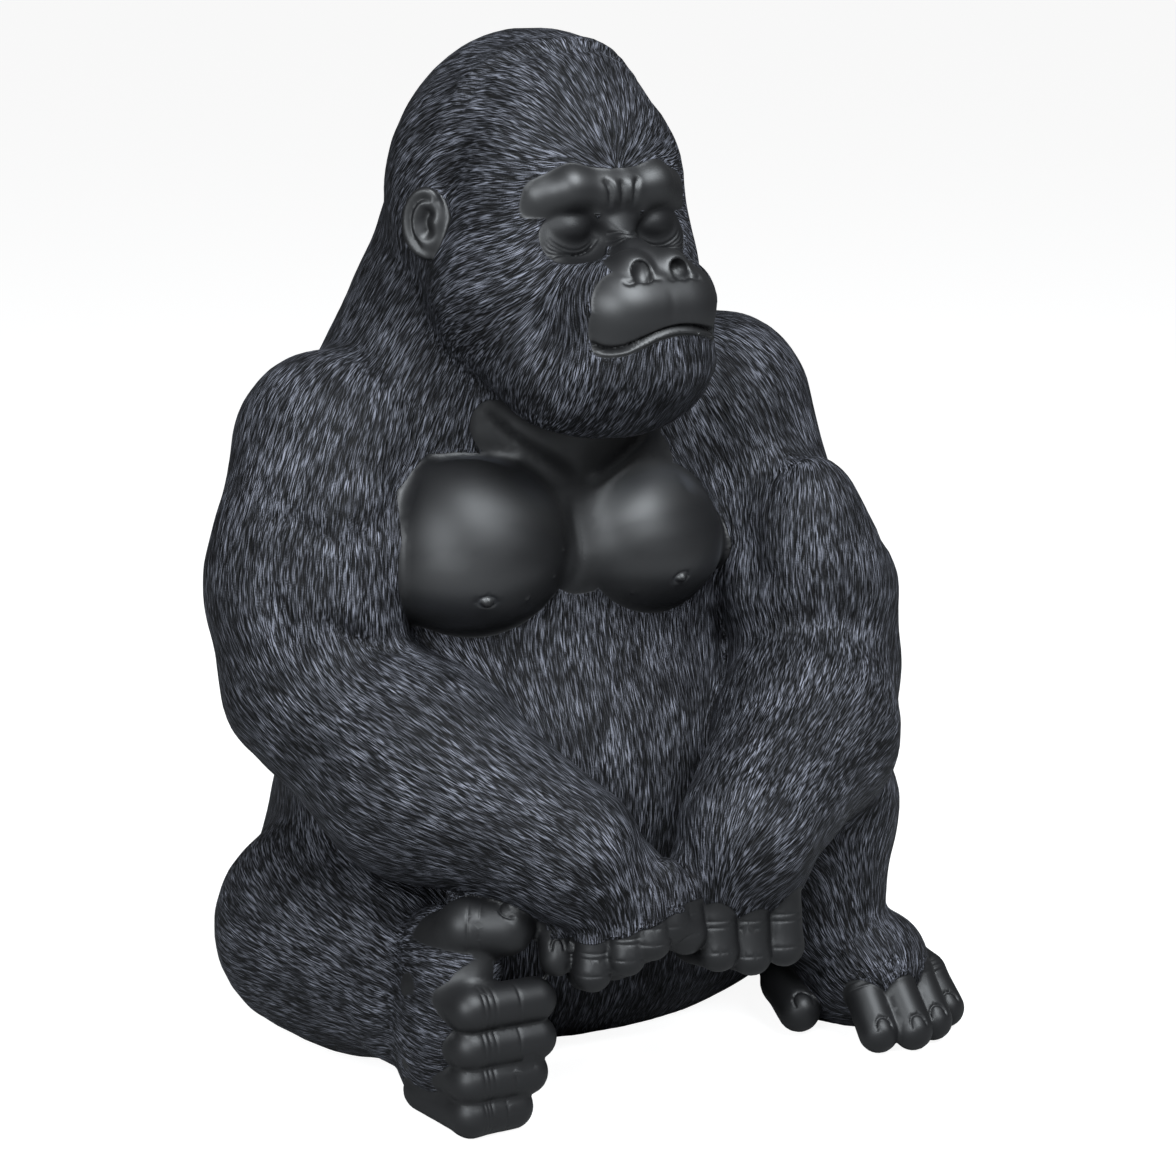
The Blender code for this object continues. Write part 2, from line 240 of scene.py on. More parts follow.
def limb(start: Place, end: Place, radii: Place, blend: float = 0.008, **more) -> Form:
    """Gives a tapered limb.

    Args:
        start: One end of its bone.
        end: The other end.
        radii: The radius at each end.
        blend: The width of the fillet that joins it to the forms before it.
        more: The form's other fields.

    Returns:
        The form.
    """
    return Form(Vector(start), tuple(radii), Vector(end), (0.0, 0.0, 0.0), blend, **more)


def both_sides(forms: list) -> list:
    """Gives the forms or strokes of the left side with their mirror images."""
    return forms + [f.mirrored() for f in forms]


def at(landmark: Vector, x: float = 0.0, y: float = 0.0, z: float = 0.0) -> Vector:
    """Gives a point offset from a landmark."""
    return landmark + Vector((x, y, z))


def chain(points: Sequence[Place], radius: float, blend: float = 0.003, **more) -> list[Form]:
    """Gives a bent finger or toe through the points."""
    return [limb(a, b, (radius, radius), blend, **more) for a, b in zip(points, points[1:])]


@dataclass(frozen=True)
class Stroke:
    """A tool's stroke along a smooth curve.

    A positive depth cuts a groove and a negative one raises a ridge. fade is the share of the length over
    which each end runs out.
    """

    points: tuple[Vector, ...]
    width: float
    depth: float
    fade: float = 0.25

    def moved(self, frame: Matrix) -> "Stroke":
        """Carries the stroke from a local frame into the figure's."""
        return replace(self, points=tuple(frame @ p for p in self.points))

    def mirrored(self) -> "Stroke":
        """Gives this stroke on the other side of the middle plane."""
        return replace(self, points=tuple(p * Vector((-1.0, 1.0, 1.0)) for p in self.points))

    def curve(self, steps: int = 8) -> np.ndarray:
        """Samples the smooth curve through the points.

        Args:
            steps: Samples between two points.

        Returns:
            One sample a row.
        """
        knots = [np.array(p) for p in self.points]
        if len(knots) == 1:
            return np.array(knots)
        knots = [2 * knots[0] - knots[1], *knots, 2 * knots[-1] - knots[-2]]
        samples = []
        for a, b, c, d in zip(knots, knots[1:], knots[2:], knots[3:]):
            for t in np.arange(steps) / steps:
                square, cube = 2 * a - 5 * b + 4 * c - d, 3 * b - a - 3 * c + d
                samples.append(0.5 * (2 * b + (c - a) * t + square * t**2 + cube * t**3))
        samples.append(knots[-2])
        return np.array(samples)


def stroke(points: Sequence[Place], width: float, depth: float, fade: float = 0.25) -> Stroke:
    """Gives a tool's stroke through the points."""
    return Stroke(tuple(Vector(p) for p in points), width, depth, fade)


@dataclass(frozen=True)
class Torso:
    """Rump, belly, ribcage, back and shoulders."""

    rump: tuple[float, ...] = (0.142, 0.086, 0.060)
    belly: tuple[float, ...] = (0.110, 0.092, 0.100)
    ribs: tuple[float, ...] = (0.109, 0.076, 0.092)

    def forms(self) -> list[Form]:
        """Gives the forms."""
        neck = at(NECK, x=0.032, z=-0.016)
        front = Vector((0.0, -0.10, -1.0))
        shoulder_blade = blob(at(CHEST, x=0.050, y=0.052, z=0.034), (0.040, 0.028, 0.052), (0, 0, -12), 0.016)
        return [
            blob(at(HIP, x=0.010 - HIP.x, y=-0.032, z=-0.022), self.rump, blend=0.03),
            blob(at(HIP, x=-HIP.x, z=0.012), (0.106, 0.082, 0.092), blend=0.03),
            blob(BELLY, self.belly, blend=0.03, comb=front),
            blob(CHEST, self.ribs, blend=0.03, comb=front),
            blob(at(CHEST, y=0.030, z=-0.044), (0.106, 0.068, 0.084), blend=0.03),
            blob(at(CHEST, y=0.030, z=0.040), (0.088, 0.056, 0.070), blend=0.03),
            *both_sides([shoulder_blade]),
            limb(at(NECK, y=-0.004, z=0.050), at(NECK, y=0.006, z=-0.020), (0.057, 0.076), 0.02),
            *both_sides([limb(neck, at(SHOULDER, x=-0.024, y=0.008, z=0.002), (0.046, 0.038), 0.02)]),
        ]


@dataclass(frozen=True)
class Breast:
    """The two bare breasts, the breastbone, the hollow of the throat and the collar bones."""

    middle: float = -0.005
    nipples: tuple[Place, ...] = ((-0.054, -0.086, 0.213), (0.045, -0.086, 0.214))
    ring: float = 0.0044
    grains: tuple[Place, ...] = (
        (-0.031, 0.211),
        (-0.006, 0.240),
        (0.018, 0.203),
        (0.004, 0.262),
        (-0.012, 0.221),
    )
    grain_depth: float = -0.086

    def forms(self) -> list[Form]:
        """Gives the forms."""
        bone = at(CHEST, x=self.middle)
        notch = at(bone, x=0.002, y=-0.050, z=0.036)
        forms = [
            limb(at(NECK, y=-0.034, z=0.006), at(CHEST, y=-0.020, z=0.044), (0.044, 0.047), 0.014),
            limb(notch, at(bone, x=0.003, y=-0.062, z=0.002), (0.016, 0.016), 0.012),
            blob(at(bone, x=-0.040, y=-0.053, z=0.014), (0.043, 0.036, 0.036), (0, 0, -14), 0.004),
            blob(at(bone, x=-0.043, y=-0.057, z=0.003), (0.041, 0.037, 0.029), (0, 0, -14), 0.014),
            blob(at(bone, x=-0.046, y=-0.050, z=0.021), (0.028, 0.030, 0.024), (0, 12, -14), 0.016),
            blob(at(bone, x=0.038, y=-0.048, z=0.011), (0.041, 0.036, 0.034), (0, 0, 14), 0.006),
            blob(at(bone, x=0.042, y=-0.053, z=0.001), (0.041, 0.036, 0.026), (0, 0, 14), 0.014),
            limb(at(bone, x=-0.002, y=-0.060, z=0.034), (-0.036, -0.021, 0.298), (0.005, 0.009), 0.008),
            limb(at(bone, x=0.006, y=-0.060, z=0.034), (0.038, -0.041, 0.283), (0.005, 0.007), 0.008),
        ]
        return [replace(f, cover=Cover.SKIN) for f in forms]

    def patches(self) -> list[Form]:
        """Gives the trunk's bare places: breastbone, throat and the hollows over the breasts."""
        return [
            limb((-0.004, -0.060, 0.276), (-0.003, -0.075, 0.226), (0.034, 0.016)),
            blob((0.004, -0.045, 0.279), (0.050, 0.038, 0.021), (0, 14, 0)),
            blob((-0.032, -0.034, 0.288), (0.014, 0.026, 0.015)),
        ]

    def strokes(self) -> list[Stroke]:
        """Gives the collar bones, the nipples with their rings and a few grains left by the casting."""
        right_bone = [(-0.037, -0.025, 0.298), (-0.021, -0.040, 0.281), (-0.003, -0.052, 0.262)]
        left_bone = [(0.039, -0.045, 0.282), (0.021, -0.050, 0.271), (0.004, -0.053, 0.262)]
        throat_edge = [(-0.026, -0.030, 0.298), (-0.012, -0.042, 0.280), (0.002, -0.050, 0.268)]
        over_breast = [(-0.066, -0.040, 0.276), (-0.048, -0.045, 0.277), (-0.028, -0.048, 0.268)]
        breastbone = [(-0.004, -0.060, 0.258), (-0.003, -0.070, 0.236), (-0.006, -0.075, 0.214)]
        marks = [
            stroke(right_bone, 0.0036, -0.0015, 0.3),
            stroke(left_bone, 0.0026, -0.0024, 0.15),
            stroke(throat_edge, 0.0060, 0.0026, 0.2),
            stroke(over_breast, 0.0042, 0.0030, 0.2),
            stroke(breastbone, 0.0026, 0.0010, 0.2),
        ]
        turns = np.linspace(0, 2 * math.pi, 9)
        for x, y, z in self.nipples:
            ring = [(x + self.ring * math.cos(a), y, z + self.ring * math.sin(a)) for a in turns]
            marks += [stroke([(x, y, z)], 0.0025, -0.0023, 0.0), stroke(ring, 0.0009, 0.0009, 0.0)]
        for x, z in self.grains:
            marks.append(stroke([(x, self.grain_depth, z)], 0.0009, -0.0008, 0.0))
        return marks


@dataclass(frozen=True)
class Arm:
    """Deltoid, upper arm, elbow and forearm.

    side is 1 for the figure's left and -1 for its right. upper and forearm are radii, swell moves the
    forearm's thickest place, shift moves the shoulder and cap moves the deltoid's lower end outwards.
    """

    elbow: Vector
    wrist: Vector
    side: int
    upper: float
    forearm: float
    swell: Vector
    shift: Vector
    cap: float

    def forms(self) -> list[Form]:
        """Gives the forms."""
        side = self.side
        shoulder = SHOULDER * Vector((side, 1.0, 1.0)) + self.shift
        middle = self.elbow.lerp(self.wrist, 0.42) + self.swell
        out = Vector((0.5 * side, -0.2, -1.0))
        upper_end = at(shoulder, x=0.004 * side, z=-0.030)
        return [
            blob(shoulder, (0.043, 0.043, 0.045), blend=0.016, comb=out),
            blob(at(shoulder, x=self.cap, y=-0.010, z=-0.024), (0.036, 0.036, 0.038), blend=0.010, comb=out),
            limb(upper_end, at(self.elbow, z=0.034), (self.upper, self.upper), 0.012),
            blob(at(self.elbow, x=-0.012 * side, y=-0.015, z=0.054), (0.027, 0.025, 0.046), blend=0.018),
            blob(at(self.elbow, x=-0.010, y=0.006, z=0.044), (0.034, 0.034, 0.048), blend=0.010),
            limb(self.elbow, middle, (0.039, self.forearm), 0.012),
            limb(middle, self.wrist, (self.forearm, 0.030), 0.012),
        ]


def muscle_lines() -> list[Stroke]:
    """Gives the furrows between the muscles of the arms."""
    deltoid_front = [(-0.072, -0.045, 0.268), (-0.090, -0.050, 0.254), (-0.110, -0.052, 0.240)]
    deltoid_back = [(-0.110, -0.052, 0.240), (-0.122, -0.048, 0.251), (-0.144, -0.033, 0.255)]
    outer_hollow = [(-0.140, -0.052, 0.220), (-0.139, -0.055, 0.208)]
    right_elbow = [(-0.121, -0.058, 0.214), (-0.110, -0.060, 0.204), (-0.084, -0.065, 0.192)]
    left_deltoid = [(0.058, -0.068, 0.272), (0.095, -0.065, 0.270), (0.134, -0.048, 0.265)]
    left_forearm = [(0.090, -0.070, 0.214), (0.120, -0.066, 0.219), (0.154, -0.050, 0.206)]
    left_elbow = [(0.078, -0.066, 0.226), (0.076, -0.068, 0.214)]
    return [
        stroke(deltoid_front, 0.0055, 0.0026, 0.2),
        stroke(deltoid_back, 0.0050, 0.0024, 0.2),
        stroke(outer_hollow, 0.0065, 0.0030, 0.0),
        stroke(right_elbow, 0.0040, 0.0030, 0.25),
        stroke(left_deltoid, 0.0060, 0.0022, 0.25),
        stroke(left_forearm, 0.0036, 0.0018, 0.25),
        stroke(left_elbow, 0.0100, 0.0045, 0.0),
    ]


def folds(start: Place, end: Place, radius: float, places: tuple[float, ...]) -> list[Stroke]:
    """Gives the fine folds across the front of a finger or toe.

    Args:
        start: One end of the finger's bone.
        end: Its other end.
        radius: The finger's radius.
        places: Where the folds lie along the bone, from 0 to 1.

    Returns:
        One stroke a fold.
    """
    start, end = Vector(start), Vector(end)
    along = (end - start).normalized()
    front = (TO_VIEWER - along * along.dot(TO_VIEWER)).normalized()
    side = along.cross(front)
    turns = np.linspace(0.5, math.pi - 0.5, 4)
    lines = []
    for place in places:
        middle = start.lerp(end, place)
        arc = [middle + radius * (math.cos(a) * side + math.sin(a) * front) for a in turns]
        lines.append(stroke(arc, 0.0006, 0.0004, 0.3))
    return lines


def nail(middle: Place, along: Place, face: Place, wide: float, tall: float) -> list[Stroke]:
    """Gives one nail: a low plate with a groove round its root and sides.

    Args:
        middle: The nail's middle.
        along: The way from its root to its tip.
        face: The way it faces.
        wide: Half its width.
        tall: Half its length.

    Returns:
        The groove and the plate.
    """
    middle, along, face = Vector(middle), Vector(along).normalized(), Vector(face).normalized()
    side = along.cross(face).normalized()
    turns = np.linspace(math.radians(-20), math.radians(200), 7)
    groove = [middle + wide * math.cos(a) * side - tall * math.sin(a) * along for a in turns]
    plate = [middle, middle + along * tall * 0.5]
    return [stroke(groove, 0.0006, 0.0008, 0.1), stroke(plate, wide * 0.75, -0.0005, 0.0)]


@dataclass(frozen=True)
class RightHand:
    """A loose fist whose knuckles slope up to the figure's left, with the thumb under the first finger."""

    finger: float = 0.0080
    thumb: float = 0.0075
    fold_places: tuple[float, ...] = (0.55, 0.66, 0.98)

    def forms(self) -> list[Form]:
        """Gives the forms."""
        fingers = [
            ((-0.034, -0.148, 0.092), (-0.037, -0.152, 0.070), (-0.032, -0.134, 0.064)),
            ((-0.023, -0.154, 0.098), (-0.024, -0.158, 0.077), (-0.020, -0.138, 0.068)),
            ((-0.013, -0.156, 0.104), (-0.013, -0.160, 0.083), (-0.010, -0.140, 0.074)),
            ((-0.004, -0.154, 0.108), (-0.003, -0.157, 0.089), (-0.002, -0.138, 0.080)),
        ]
        back = Vector((0.15, -0.1, -1.0))
        palm = at(RIGHT_WRIST, x=0.016, y=-0.006, z=-0.016)
        forms = [
            blob(palm, (0.027, 0.021, 0.024), (0, 20, 0), 0.008, comb=back),
            *chain([(-0.046, -0.132, 0.092), (-0.048, -0.140, 0.074)], self.thumb, cover=Cover.SKIN),
        ]
        for points in fingers:
            forms += chain(points, self.finger, 0.002, cover=Cover.SKIN)
        return forms

    def strokes(self) -> list[Stroke]:
        """Gives the folds of the fingers and the thumb's nail."""
        thumb_tip, down, outwards = (-0.050, -0.146, 0.081), (-0.1, -0.3, -1.0), (-0.3, -1.0, 0.1)
        lines = nail(thumb_tip, down, outwards, 0.0034, 0.0042)
        fronts = (
            (-0.0355, -0.150, 0.092, 0.070),
            (-0.0235, -0.156, 0.098, 0.077),
            (-0.0130, -0.158, 0.104, 0.083),
            (-0.0035, -0.156, 0.108, 0.089),
        )
        for x, y, top, bottom in fronts:
            lines += folds((x, y, top), (x, y, bottom), self.finger, self.fold_places)
        return lines


@dataclass(frozen=True)
class LeftHand:
    """A loose fist with its four fingers side by side, seen from the back of the hand.

    fingers holds each finger's place across and the height of its knuckle.
    """

    finger: float = 0.0087
    fingers: tuple[Place, ...] = ((0.006, 0.082), (0.022, 0.072), (0.038, 0.068), (0.054, 0.070))
    fold_places: tuple[float, ...] = (0.50, 0.60, 0.98)

    def forms(self) -> list[Form]:
        """Gives the forms."""
        forms = [blob(at(LEFT_WRIST, x=-0.003, y=0.002, z=-0.016), (0.033, 0.020, 0.024), (0, 0, 0), 0.008)]
        for across, bottom in self.fingers:
            points = [(across, -0.150, 0.100), (across, -0.154, bottom), (across, -0.130, bottom - 0.004)]
            forms += chain(points, self.finger, 0.002, cover=Cover.SKIN)
        return forms

    def strokes(self) -> list[Stroke]:
        """Gives the folds of the fingers."""
        lines = []
        for across, bottom in self.fingers:
            lines += folds((across, -0.150, 0.100), (across, -0.154, bottom), self.finger, self.fold_places)
        return lines


@dataclass(frozen=True)
class RightLeg:
    """Thigh out to the side, knee on the ground and shin folded forward."""

    thigh: tuple[float, ...] = (0.056, 0.046)

    def forms(self) -> list[Form]:
        """Gives the forms."""
        hip = HIP * Vector((-1.0, 1.0, 1.0))
        along = RIGHT_ANKLE - RIGHT_KNEE
        return [
            limb(hip, RIGHT_KNEE, self.thigh, 0.02),
            limb(RIGHT_KNEE, RIGHT_ANKLE, (0.046, 0.034), 0.014),
            blob(RIGHT_KNEE.lerp(RIGHT_ANKLE, 0.4), (0.038, 0.048, 0.046), (0, 0, 20), 0.012, comb=along),
        ]


@dataclass(frozen=True)
class LeftLeg:
    """Thigh forward and out, knee raised and shin down to the foot."""

    thigh: tuple[float, ...] = (0.058, 0.038)

    def forms(self) -> list[Form]:
        """Gives the forms."""
        return [
            limb(HIP, LEFT_KNEE, self.thigh, 0.02),
            limb(LEFT_KNEE, LEFT_ANKLE, (0.036, 0.026), 0.012),
            blob(at(LEFT_KNEE, y=0.022, z=-0.040), (0.032, 0.034, 0.044), (0, 0, 0), 0.012),
        ]


@dataclass(frozen=True)
class RightFoot:
    """A foot standing on its outer edge with its toes curled towards the other foot.

    toes holds each small toe's height and how far across its tip reaches.
    """

    toe: float = 0.0098
    big_toe: float = 0.0120
    toes: tuple[Place, ...] = ((0.057, -0.057), (0.040, -0.057), (0.025, -0.061), (0.0105, -0.068))
    fold_places: tuple[float, ...] = (0.05, 0.14, 0.24, 0.62)

    def forms(self) -> list[Form]:
        """Gives the forms."""
        along = Vector((0.1, -1.0, 0.0))
        forms = [
            blob((-0.086, -0.100, 0.043), (0.021, 0.040, 0.046), (0, 0, -14), 0.010, comb=along),
            blob((-0.076, -0.062, 0.034), (0.024, 0.028, 0.034), (0, 0, 0), 0.010, comb=along),
            blob((-0.082, -0.112, 0.070), (0.018, 0.024, 0.022), (0, 0, 0), 0.008, comb=along),
        ]
        for height, tip in self.toes:
            root, knuckle = (-0.098, -0.114, height + 0.004), (-0.088, -0.140, height)
            points = [root, knuckle, (tip, -0.136, height - 0.001)]
            forms += chain(points, self.toe, 0.002, cover=Cover.SKIN)
        big_toe = [(-0.089, -0.106, 0.074), (-0.083, -0.124, 0.088), (-0.068, -0.132, 0.088)]
        forms += chain(big_toe, self.big_toe, cover=Cover.SKIN)
        web = limb((-0.078, -0.124, 0.080), (-0.086, -0.132, 0.062), (0.009, 0.009), 0.004, cover=Cover.SKIN)
        forms.append(web)
        return forms

    def strokes(self) -> list[Stroke]:
        """Gives the folds of the toes and the nail of the big toe."""
        nail_middle, across, upwards = (-0.068, -0.138, 0.098), (1.0, -0.3, 0.0), (0.0, -0.6, 1.0)
        lines = nail(nail_middle, across, upwards, 0.0046, 0.0052)
        for height, tip in self.toes:
            knuckle, end = (-0.088, -0.140, height), (tip, -0.136, height - 0.001)
            lines += folds(knuckle, end, self.toe, self.fold_places)
        lines += folds((-0.083, -0.124, 0.088), (-0.068, -0.132, 0.088), self.big_toe, (0.1, 0.4))
        return lines


@dataclass(frozen=True)
class LeftFoot:
    """A foot flat on the ground with its big toe held apart.

    toes holds each small toe's root, joint and tip.
    """

    toe: float = 0.0092
    big_toe: float = 0.0100
    toes: tuple[tuple[Place, ...], ...] = (
        ((0.116, -0.091, 0.034), (0.120, -0.108, 0.028), (0.120, -0.124, 0.010)),
        ((0.130, -0.092, 0.037), (0.134, -0.110, 0.031), (0.136, -0.1275, 0.010)),
        ((0.144, -0.090, 0.036), (0.149, -0.105, 0.029), (0.151, -0.120, 0.010)),
        ((0.156, -0.084, 0.031), (0.162, -0.095, 0.024), (0.166, -0.106, 0.0095)),
    )
    fold_places: tuple[float, ...] = (-0.15, 0.02, 0.16)

    def forms(self) -> list[Form]:
        """Gives the forms."""
        along = Vector((0.2, -1.0, -0.3))
        forms = [
            blob((0.134, -0.084, 0.028), (0.030, 0.037, 0.028), (-18, 0, -14), 0.010, comb=along),
            blob((0.128, -0.056, 0.024), (0.028, 0.034, 0.028), (0, 0, 0), 0.010, comb=along),
        ]
        for points in self.toes:
            forms += chain(points, self.toe, 0.002, cover=Cover.SKIN)
        big_toe = [(0.108, -0.050, 0.024), (0.101, -0.068, 0.019), (0.099, -0.087, 0.012)]
        forms += chain(big_toe, self.big_toe, cover=Cover.SKIN)
        return forms

    def strokes(self) -> list[Stroke]:
        """Gives the nails and the folds of the toes."""
        lines = []
        for _, joint, tip in self.toes:
            joint, tip = Vector(joint), Vector(tip)
            middle = tip + Vector((-0.001, -0.007, 0.005))
            lines += nail(middle, tip - joint, (0.0, -1.0, 1.0), 0.0040, 0.0048)
            lines += folds(joint, tip, self.toe, self.fold_places)
        lines += nail((0.098, -0.093, 0.017), (0.0, -1.0, -0.5), (0.0, -0.6, 1.0), 0.0042, 0.0050)
        return lines


@dataclass(frozen=True)
class Head:
    """Cranium with its crest, brow, cheeks, jaw, muzzle, nose and ears, in the head's own frame."""

    turn: float = HEAD_TURN
    flare: float = 35.0
    face: Vector = field(default_factory=lambda: Vector((0.0, -0.060, -0.004)))

    def frame(self) -> Matrix:
        """Gives the head's own frame."""
        return Matrix.Translation(HEAD) @ Matrix.Rotation(math.radians(self.turn), 4, "Z")

    def forms(self) -> list[Form]:
        """Gives the forms."""
        skin = {"cover": Cover.SKIN}
        spread = {"comb": self.face, "fan": True}
        between_brows, between_eyes = (0.0, -0.0415, 0.014), (0.0, -0.0515, -0.001)
        nose_root = (0.0, -0.070, -0.009)
        inner, arch = (0.0070, -0.0490, 0.0212), (0.0205, -0.0475, 0.0228)
        outer, end = (0.0305, -0.0400, 0.0195), (0.0375, -0.0310, 0.0105)
        middle = [
            blob((0.0, 0.022, 0.017), (0.061, 0.062, 0.064), blend=0.014, comb=Vector((0.0, 1.0, -0.8))),
            blob((0.001, 0.013, 0.041), (0.048, 0.055, 0.0455), blend=0.012, comb=Vector((0.0, 1.0, -0.4))),
            blob((0.0, -0.016, 0.020), (0.054, 0.036, 0.050), blend=0.004, **spread),
            blob((0.0, -0.010, -0.020), (0.062, 0.054, 0.054), blend=0.012, **spread),
            blob((0.0, -0.042, -0.054), (0.050, 0.042, 0.032), blend=0.012, **spread),
            blob((0.0, -0.062, -0.025), (0.030, 0.031, 0.019), blend=0.010, **spread),
            blob((0.0, -0.068, -0.051), (0.037, 0.024, 0.019), blend=0.006, **spread),
            blob((0.0, -0.0480, 0.0215), (0.0100, 0.0090, 0.0090), blend=0.005, **skin),
            limb(between_brows, between_eyes, (0.0095, 0.0088), 0.006, **skin),
            limb(between_eyes, nose_root, (0.0088, 0.0085), 0.006, **skin),
        ]
        sides = [
            blob((0.0150, -0.0650, -0.0265), (0.0190, 0.0270, 0.0190), blend=0.016, **spread),
            limb(inner, arch, (0.0088, 0.0092), 0.005, **skin),
            limb(arch, outer, (0.0092, 0.0088), 0.005, **skin),
            limb(outer, end, (0.0088, 0.0064), 0.005, **skin),
            blob((0.0210, -0.0620, 0.0030), (0.0150, 0.0140, 0.0100), blend=0.004, carve=True),
            blob((0.0225, -0.0420, -0.0030), (0.0175, 0.0110, 0.0120), blend=0.004, **skin),
            blob((0.0210, -0.0435, 0.0062), (0.0112, 0.0112, 0.0088), blend=0.0020, **skin),
            blob((0.0092, -0.0770, -0.0105), (0.0096, 0.0105, 0.0092), blend=0.0025, **skin),
            blob((0.0096, -0.0875, -0.0095), (0.0048, 0.0085, 0.0046), blend=0.0015, carve=True),
        ]
        sides.append(self.ear()[0])
        return [f.moved(self.frame()) for f in middle + both_sides(sides)]

    def ear(self) -> tuple[Form, list[Stroke]]:
        """Gives the left ear's plate and its rims and hollows.

        Returns:
            The plate, and the strokes in it. u runs back along the ear and v stands out of it.
        """
        root, flare = Vector((0.0585, -0.0040, 0.0)), math.radians(self.flare)
        back = Vector((math.sin(flare), math.cos(flare), 0))
        out = Vector((math.cos(flare), -math.sin(flare), 0))

        def spot(u: float, z: float, v: float = 0.0) -> Vector:
            """Gives a point of the ear."""
            return root + back * u + out * v + Vector((0, 0, z))

        size, turn = (0.0055, 0.0098, 0.0155), (0, 0, -self.flare)
        plate = blob(spot(0.0070, 0.0065, 0.000), size, turn, 0.003, cover=Cover.SKIN)
        rim = ((-0.001, 0.0175), (0.0035, 0.0205), (0.0085, 0.0200), (0.0130, 0.0155), (0.0150, 0.0080))
        rim += ((0.0140, 0.0), (0.010, -0.0050), (0.005, -0.0080), (0.002, -0.0092))
        inner = ((0.003, 0.0145), (0.0075, 0.0148), (0.0103, 0.0095), (0.0100, 0.003), (0.006, -0.0025))
        hollow = ((0.004, 0.0110), (0.0055, 0.0075), (0.0045, 0.0030))
        channel = ((0.002, 0.0172), (0.0075, 0.0175), (0.0125, 0.0115), (0.0122, 0.003), (0.007, -0.0050))
        strokes = [
            stroke([spot(*p, 0.003) for p in rim], 0.0017, -0.0016, 0.12),
            stroke([spot(*p, 0.006) for p in channel], 0.0011, 0.0014, 0.2),
            stroke([spot(*p, 0.006) for p in inner], 0.0013, -0.0006, 0.2),
            stroke([spot(*p, 0.006) for p in hollow], 0.0030, 0.0042, 0.0),
        ]
        return plate, strokes

    def patches(self) -> list[Form]:
        """Gives the places where the face is bare: muzzle, the lids and between them."""
        muzzle = [limb((-0.021, -0.100, -0.020), (0.021, -0.100, -0.020), (0.0215, 0.0215))]
        muzzle += [limb((-0.0250, -0.095, -0.034), (0.0265, -0.095, -0.034), (0.0168, 0.0168))]
        lids = [blob((0.0220, -0.0520, 0.0020), (0.0150, 0.0180, 0.0130))]
        bridge = [blob((0.0, -0.0500, 0.0060), (0.0120, 0.0200, 0.0120))]
        return [f.moved(self.frame()) for f in muzzle + both_sides(lids) + bridge]

    def bare_under(self, points: np.ndarray) -> np.ndarray:
        """Tells how far points lie above the lower lip's rim, in metres."""
        local = (points - np.array(self.frame().translation)) @ np.array(self.frame().to_3x3())
        line = np.array(self.mouth())
        return local[:, 2] - np.interp(local[:, 0], line[:, 0], line[:, 2]) + 0.0040

    def mouth(self) -> list[tuple[float, float, float]]:
        """Gives the line of the mouth, from the figure's right to its left."""
        corner = [(-0.0325, -0.080, -0.0385), (-0.0270, -0.085, -0.0408)]
        near = [(-0.0200, -0.089, -0.0402), (-0.0120, -0.092, -0.0370), (-0.0030, -0.0935, -0.0340)]
        far = [(0.0060, -0.0935, -0.0328), (0.0140, -0.0915, -0.0330)]
        return [*corner, *near, *far, (0.0220, -0.087, -0.0350), (0.0310, -0.080, -0.0390)]

    def nostril(self) -> Stroke:
        """Gives the fold between the left nostril and the muzzle."""
        turns = [math.radians(a) for a in range(-140, -19, 20)]
        fold = [(0.0092 + 0.0104 * math.cos(a), -0.086, -0.0095 + 0.0100 * math.sin(a)) for a in turns]
        return stroke(fold, 0.0012, 0.0011, 0.2)

    def cap(self) -> list[Stroke]:
        """Gives the step where the crown's hair stands over the forehead's."""
        half = [(0.047, 0.006, 0.040), (0.045, -0.002, 0.052), (0.033, -0.004, 0.066), (0.019, -0.012, 0.076)]
        edge = [(-x, y, z) for x, y, z in half] + [(0.0, -0.018, 0.080)] + half[::-1]
        behind = [(x, y + 0.0060, z + 0.0015) for x, y, z in edge]
        return [stroke(edge, 0.0034, 0.0013, 0.2), stroke(behind, 0.0054, -0.0018, 0.2)]

    def strokes(self) -> list[Stroke]:
        """Gives the mouth, the folds round the eyes and the frown."""
        mouth = self.mouth()
        rim = [(x, y, z - 0.0024) for x, y, z in mouth]
        frown = [(0.0, -0.062, 0.030), (0.0, -0.062, 0.023), (0.0, -0.060, 0.014)]
        side_frown = [(0.0095, -0.062, 0.031), (0.0070, -0.062, 0.023), (0.0062, -0.060, 0.014)]
        between = [(0.0045, -0.062, 0.031), (0.0038, -0.062, 0.024), (0.0030, -0.060, 0.016)]
        lip_furrow = [(0.0, -0.090, -0.018), (0.0, -0.094, -0.026), (0.0, -0.094, -0.032)]
        middle = [
            stroke(mouth, 0.0010, 0.0026, 0.05),
            stroke(rim, 0.0011, -0.0013, 0.06),
            stroke(frown, 0.0011, 0.0012, 0.3),
            stroke(lip_furrow, 0.0022, 0.0003, 0.4),
            *self.cap(),
        ]
        sides = [
            stroke(side_frown, 0.0013, 0.0017, 0.3),
            stroke(between, 0.0014, -0.0007, 0.4),
            self.nostril(),
        ]
        for i in range(5):
            wide, tall = 0.0120 + 0.0013 * i, 0.0086 + 0.0017 * i
            arc = []
            for angle in range(200, 345, 24):
                a = math.radians(angle)
                arc.append((0.0215 - wide * math.cos(a), -0.0490, 0.0050 + tall * math.sin(a)))
            sides.append(stroke(arc, 0.00055, 0.0006, 0.3))
        for height in (0.0050, 0.0012, -0.0026):
            low = height - 0.0012
            arc = [(-0.0075, -0.056, low), (0.0, -0.064, height), (0.0075, -0.056, low)]
            middle.append(stroke(arc, 0.0007, 0.0007, 0.3))
        sides += self.ear()[1]
        return [s.moved(self.frame()) for s in middle + both_sides(sides)]


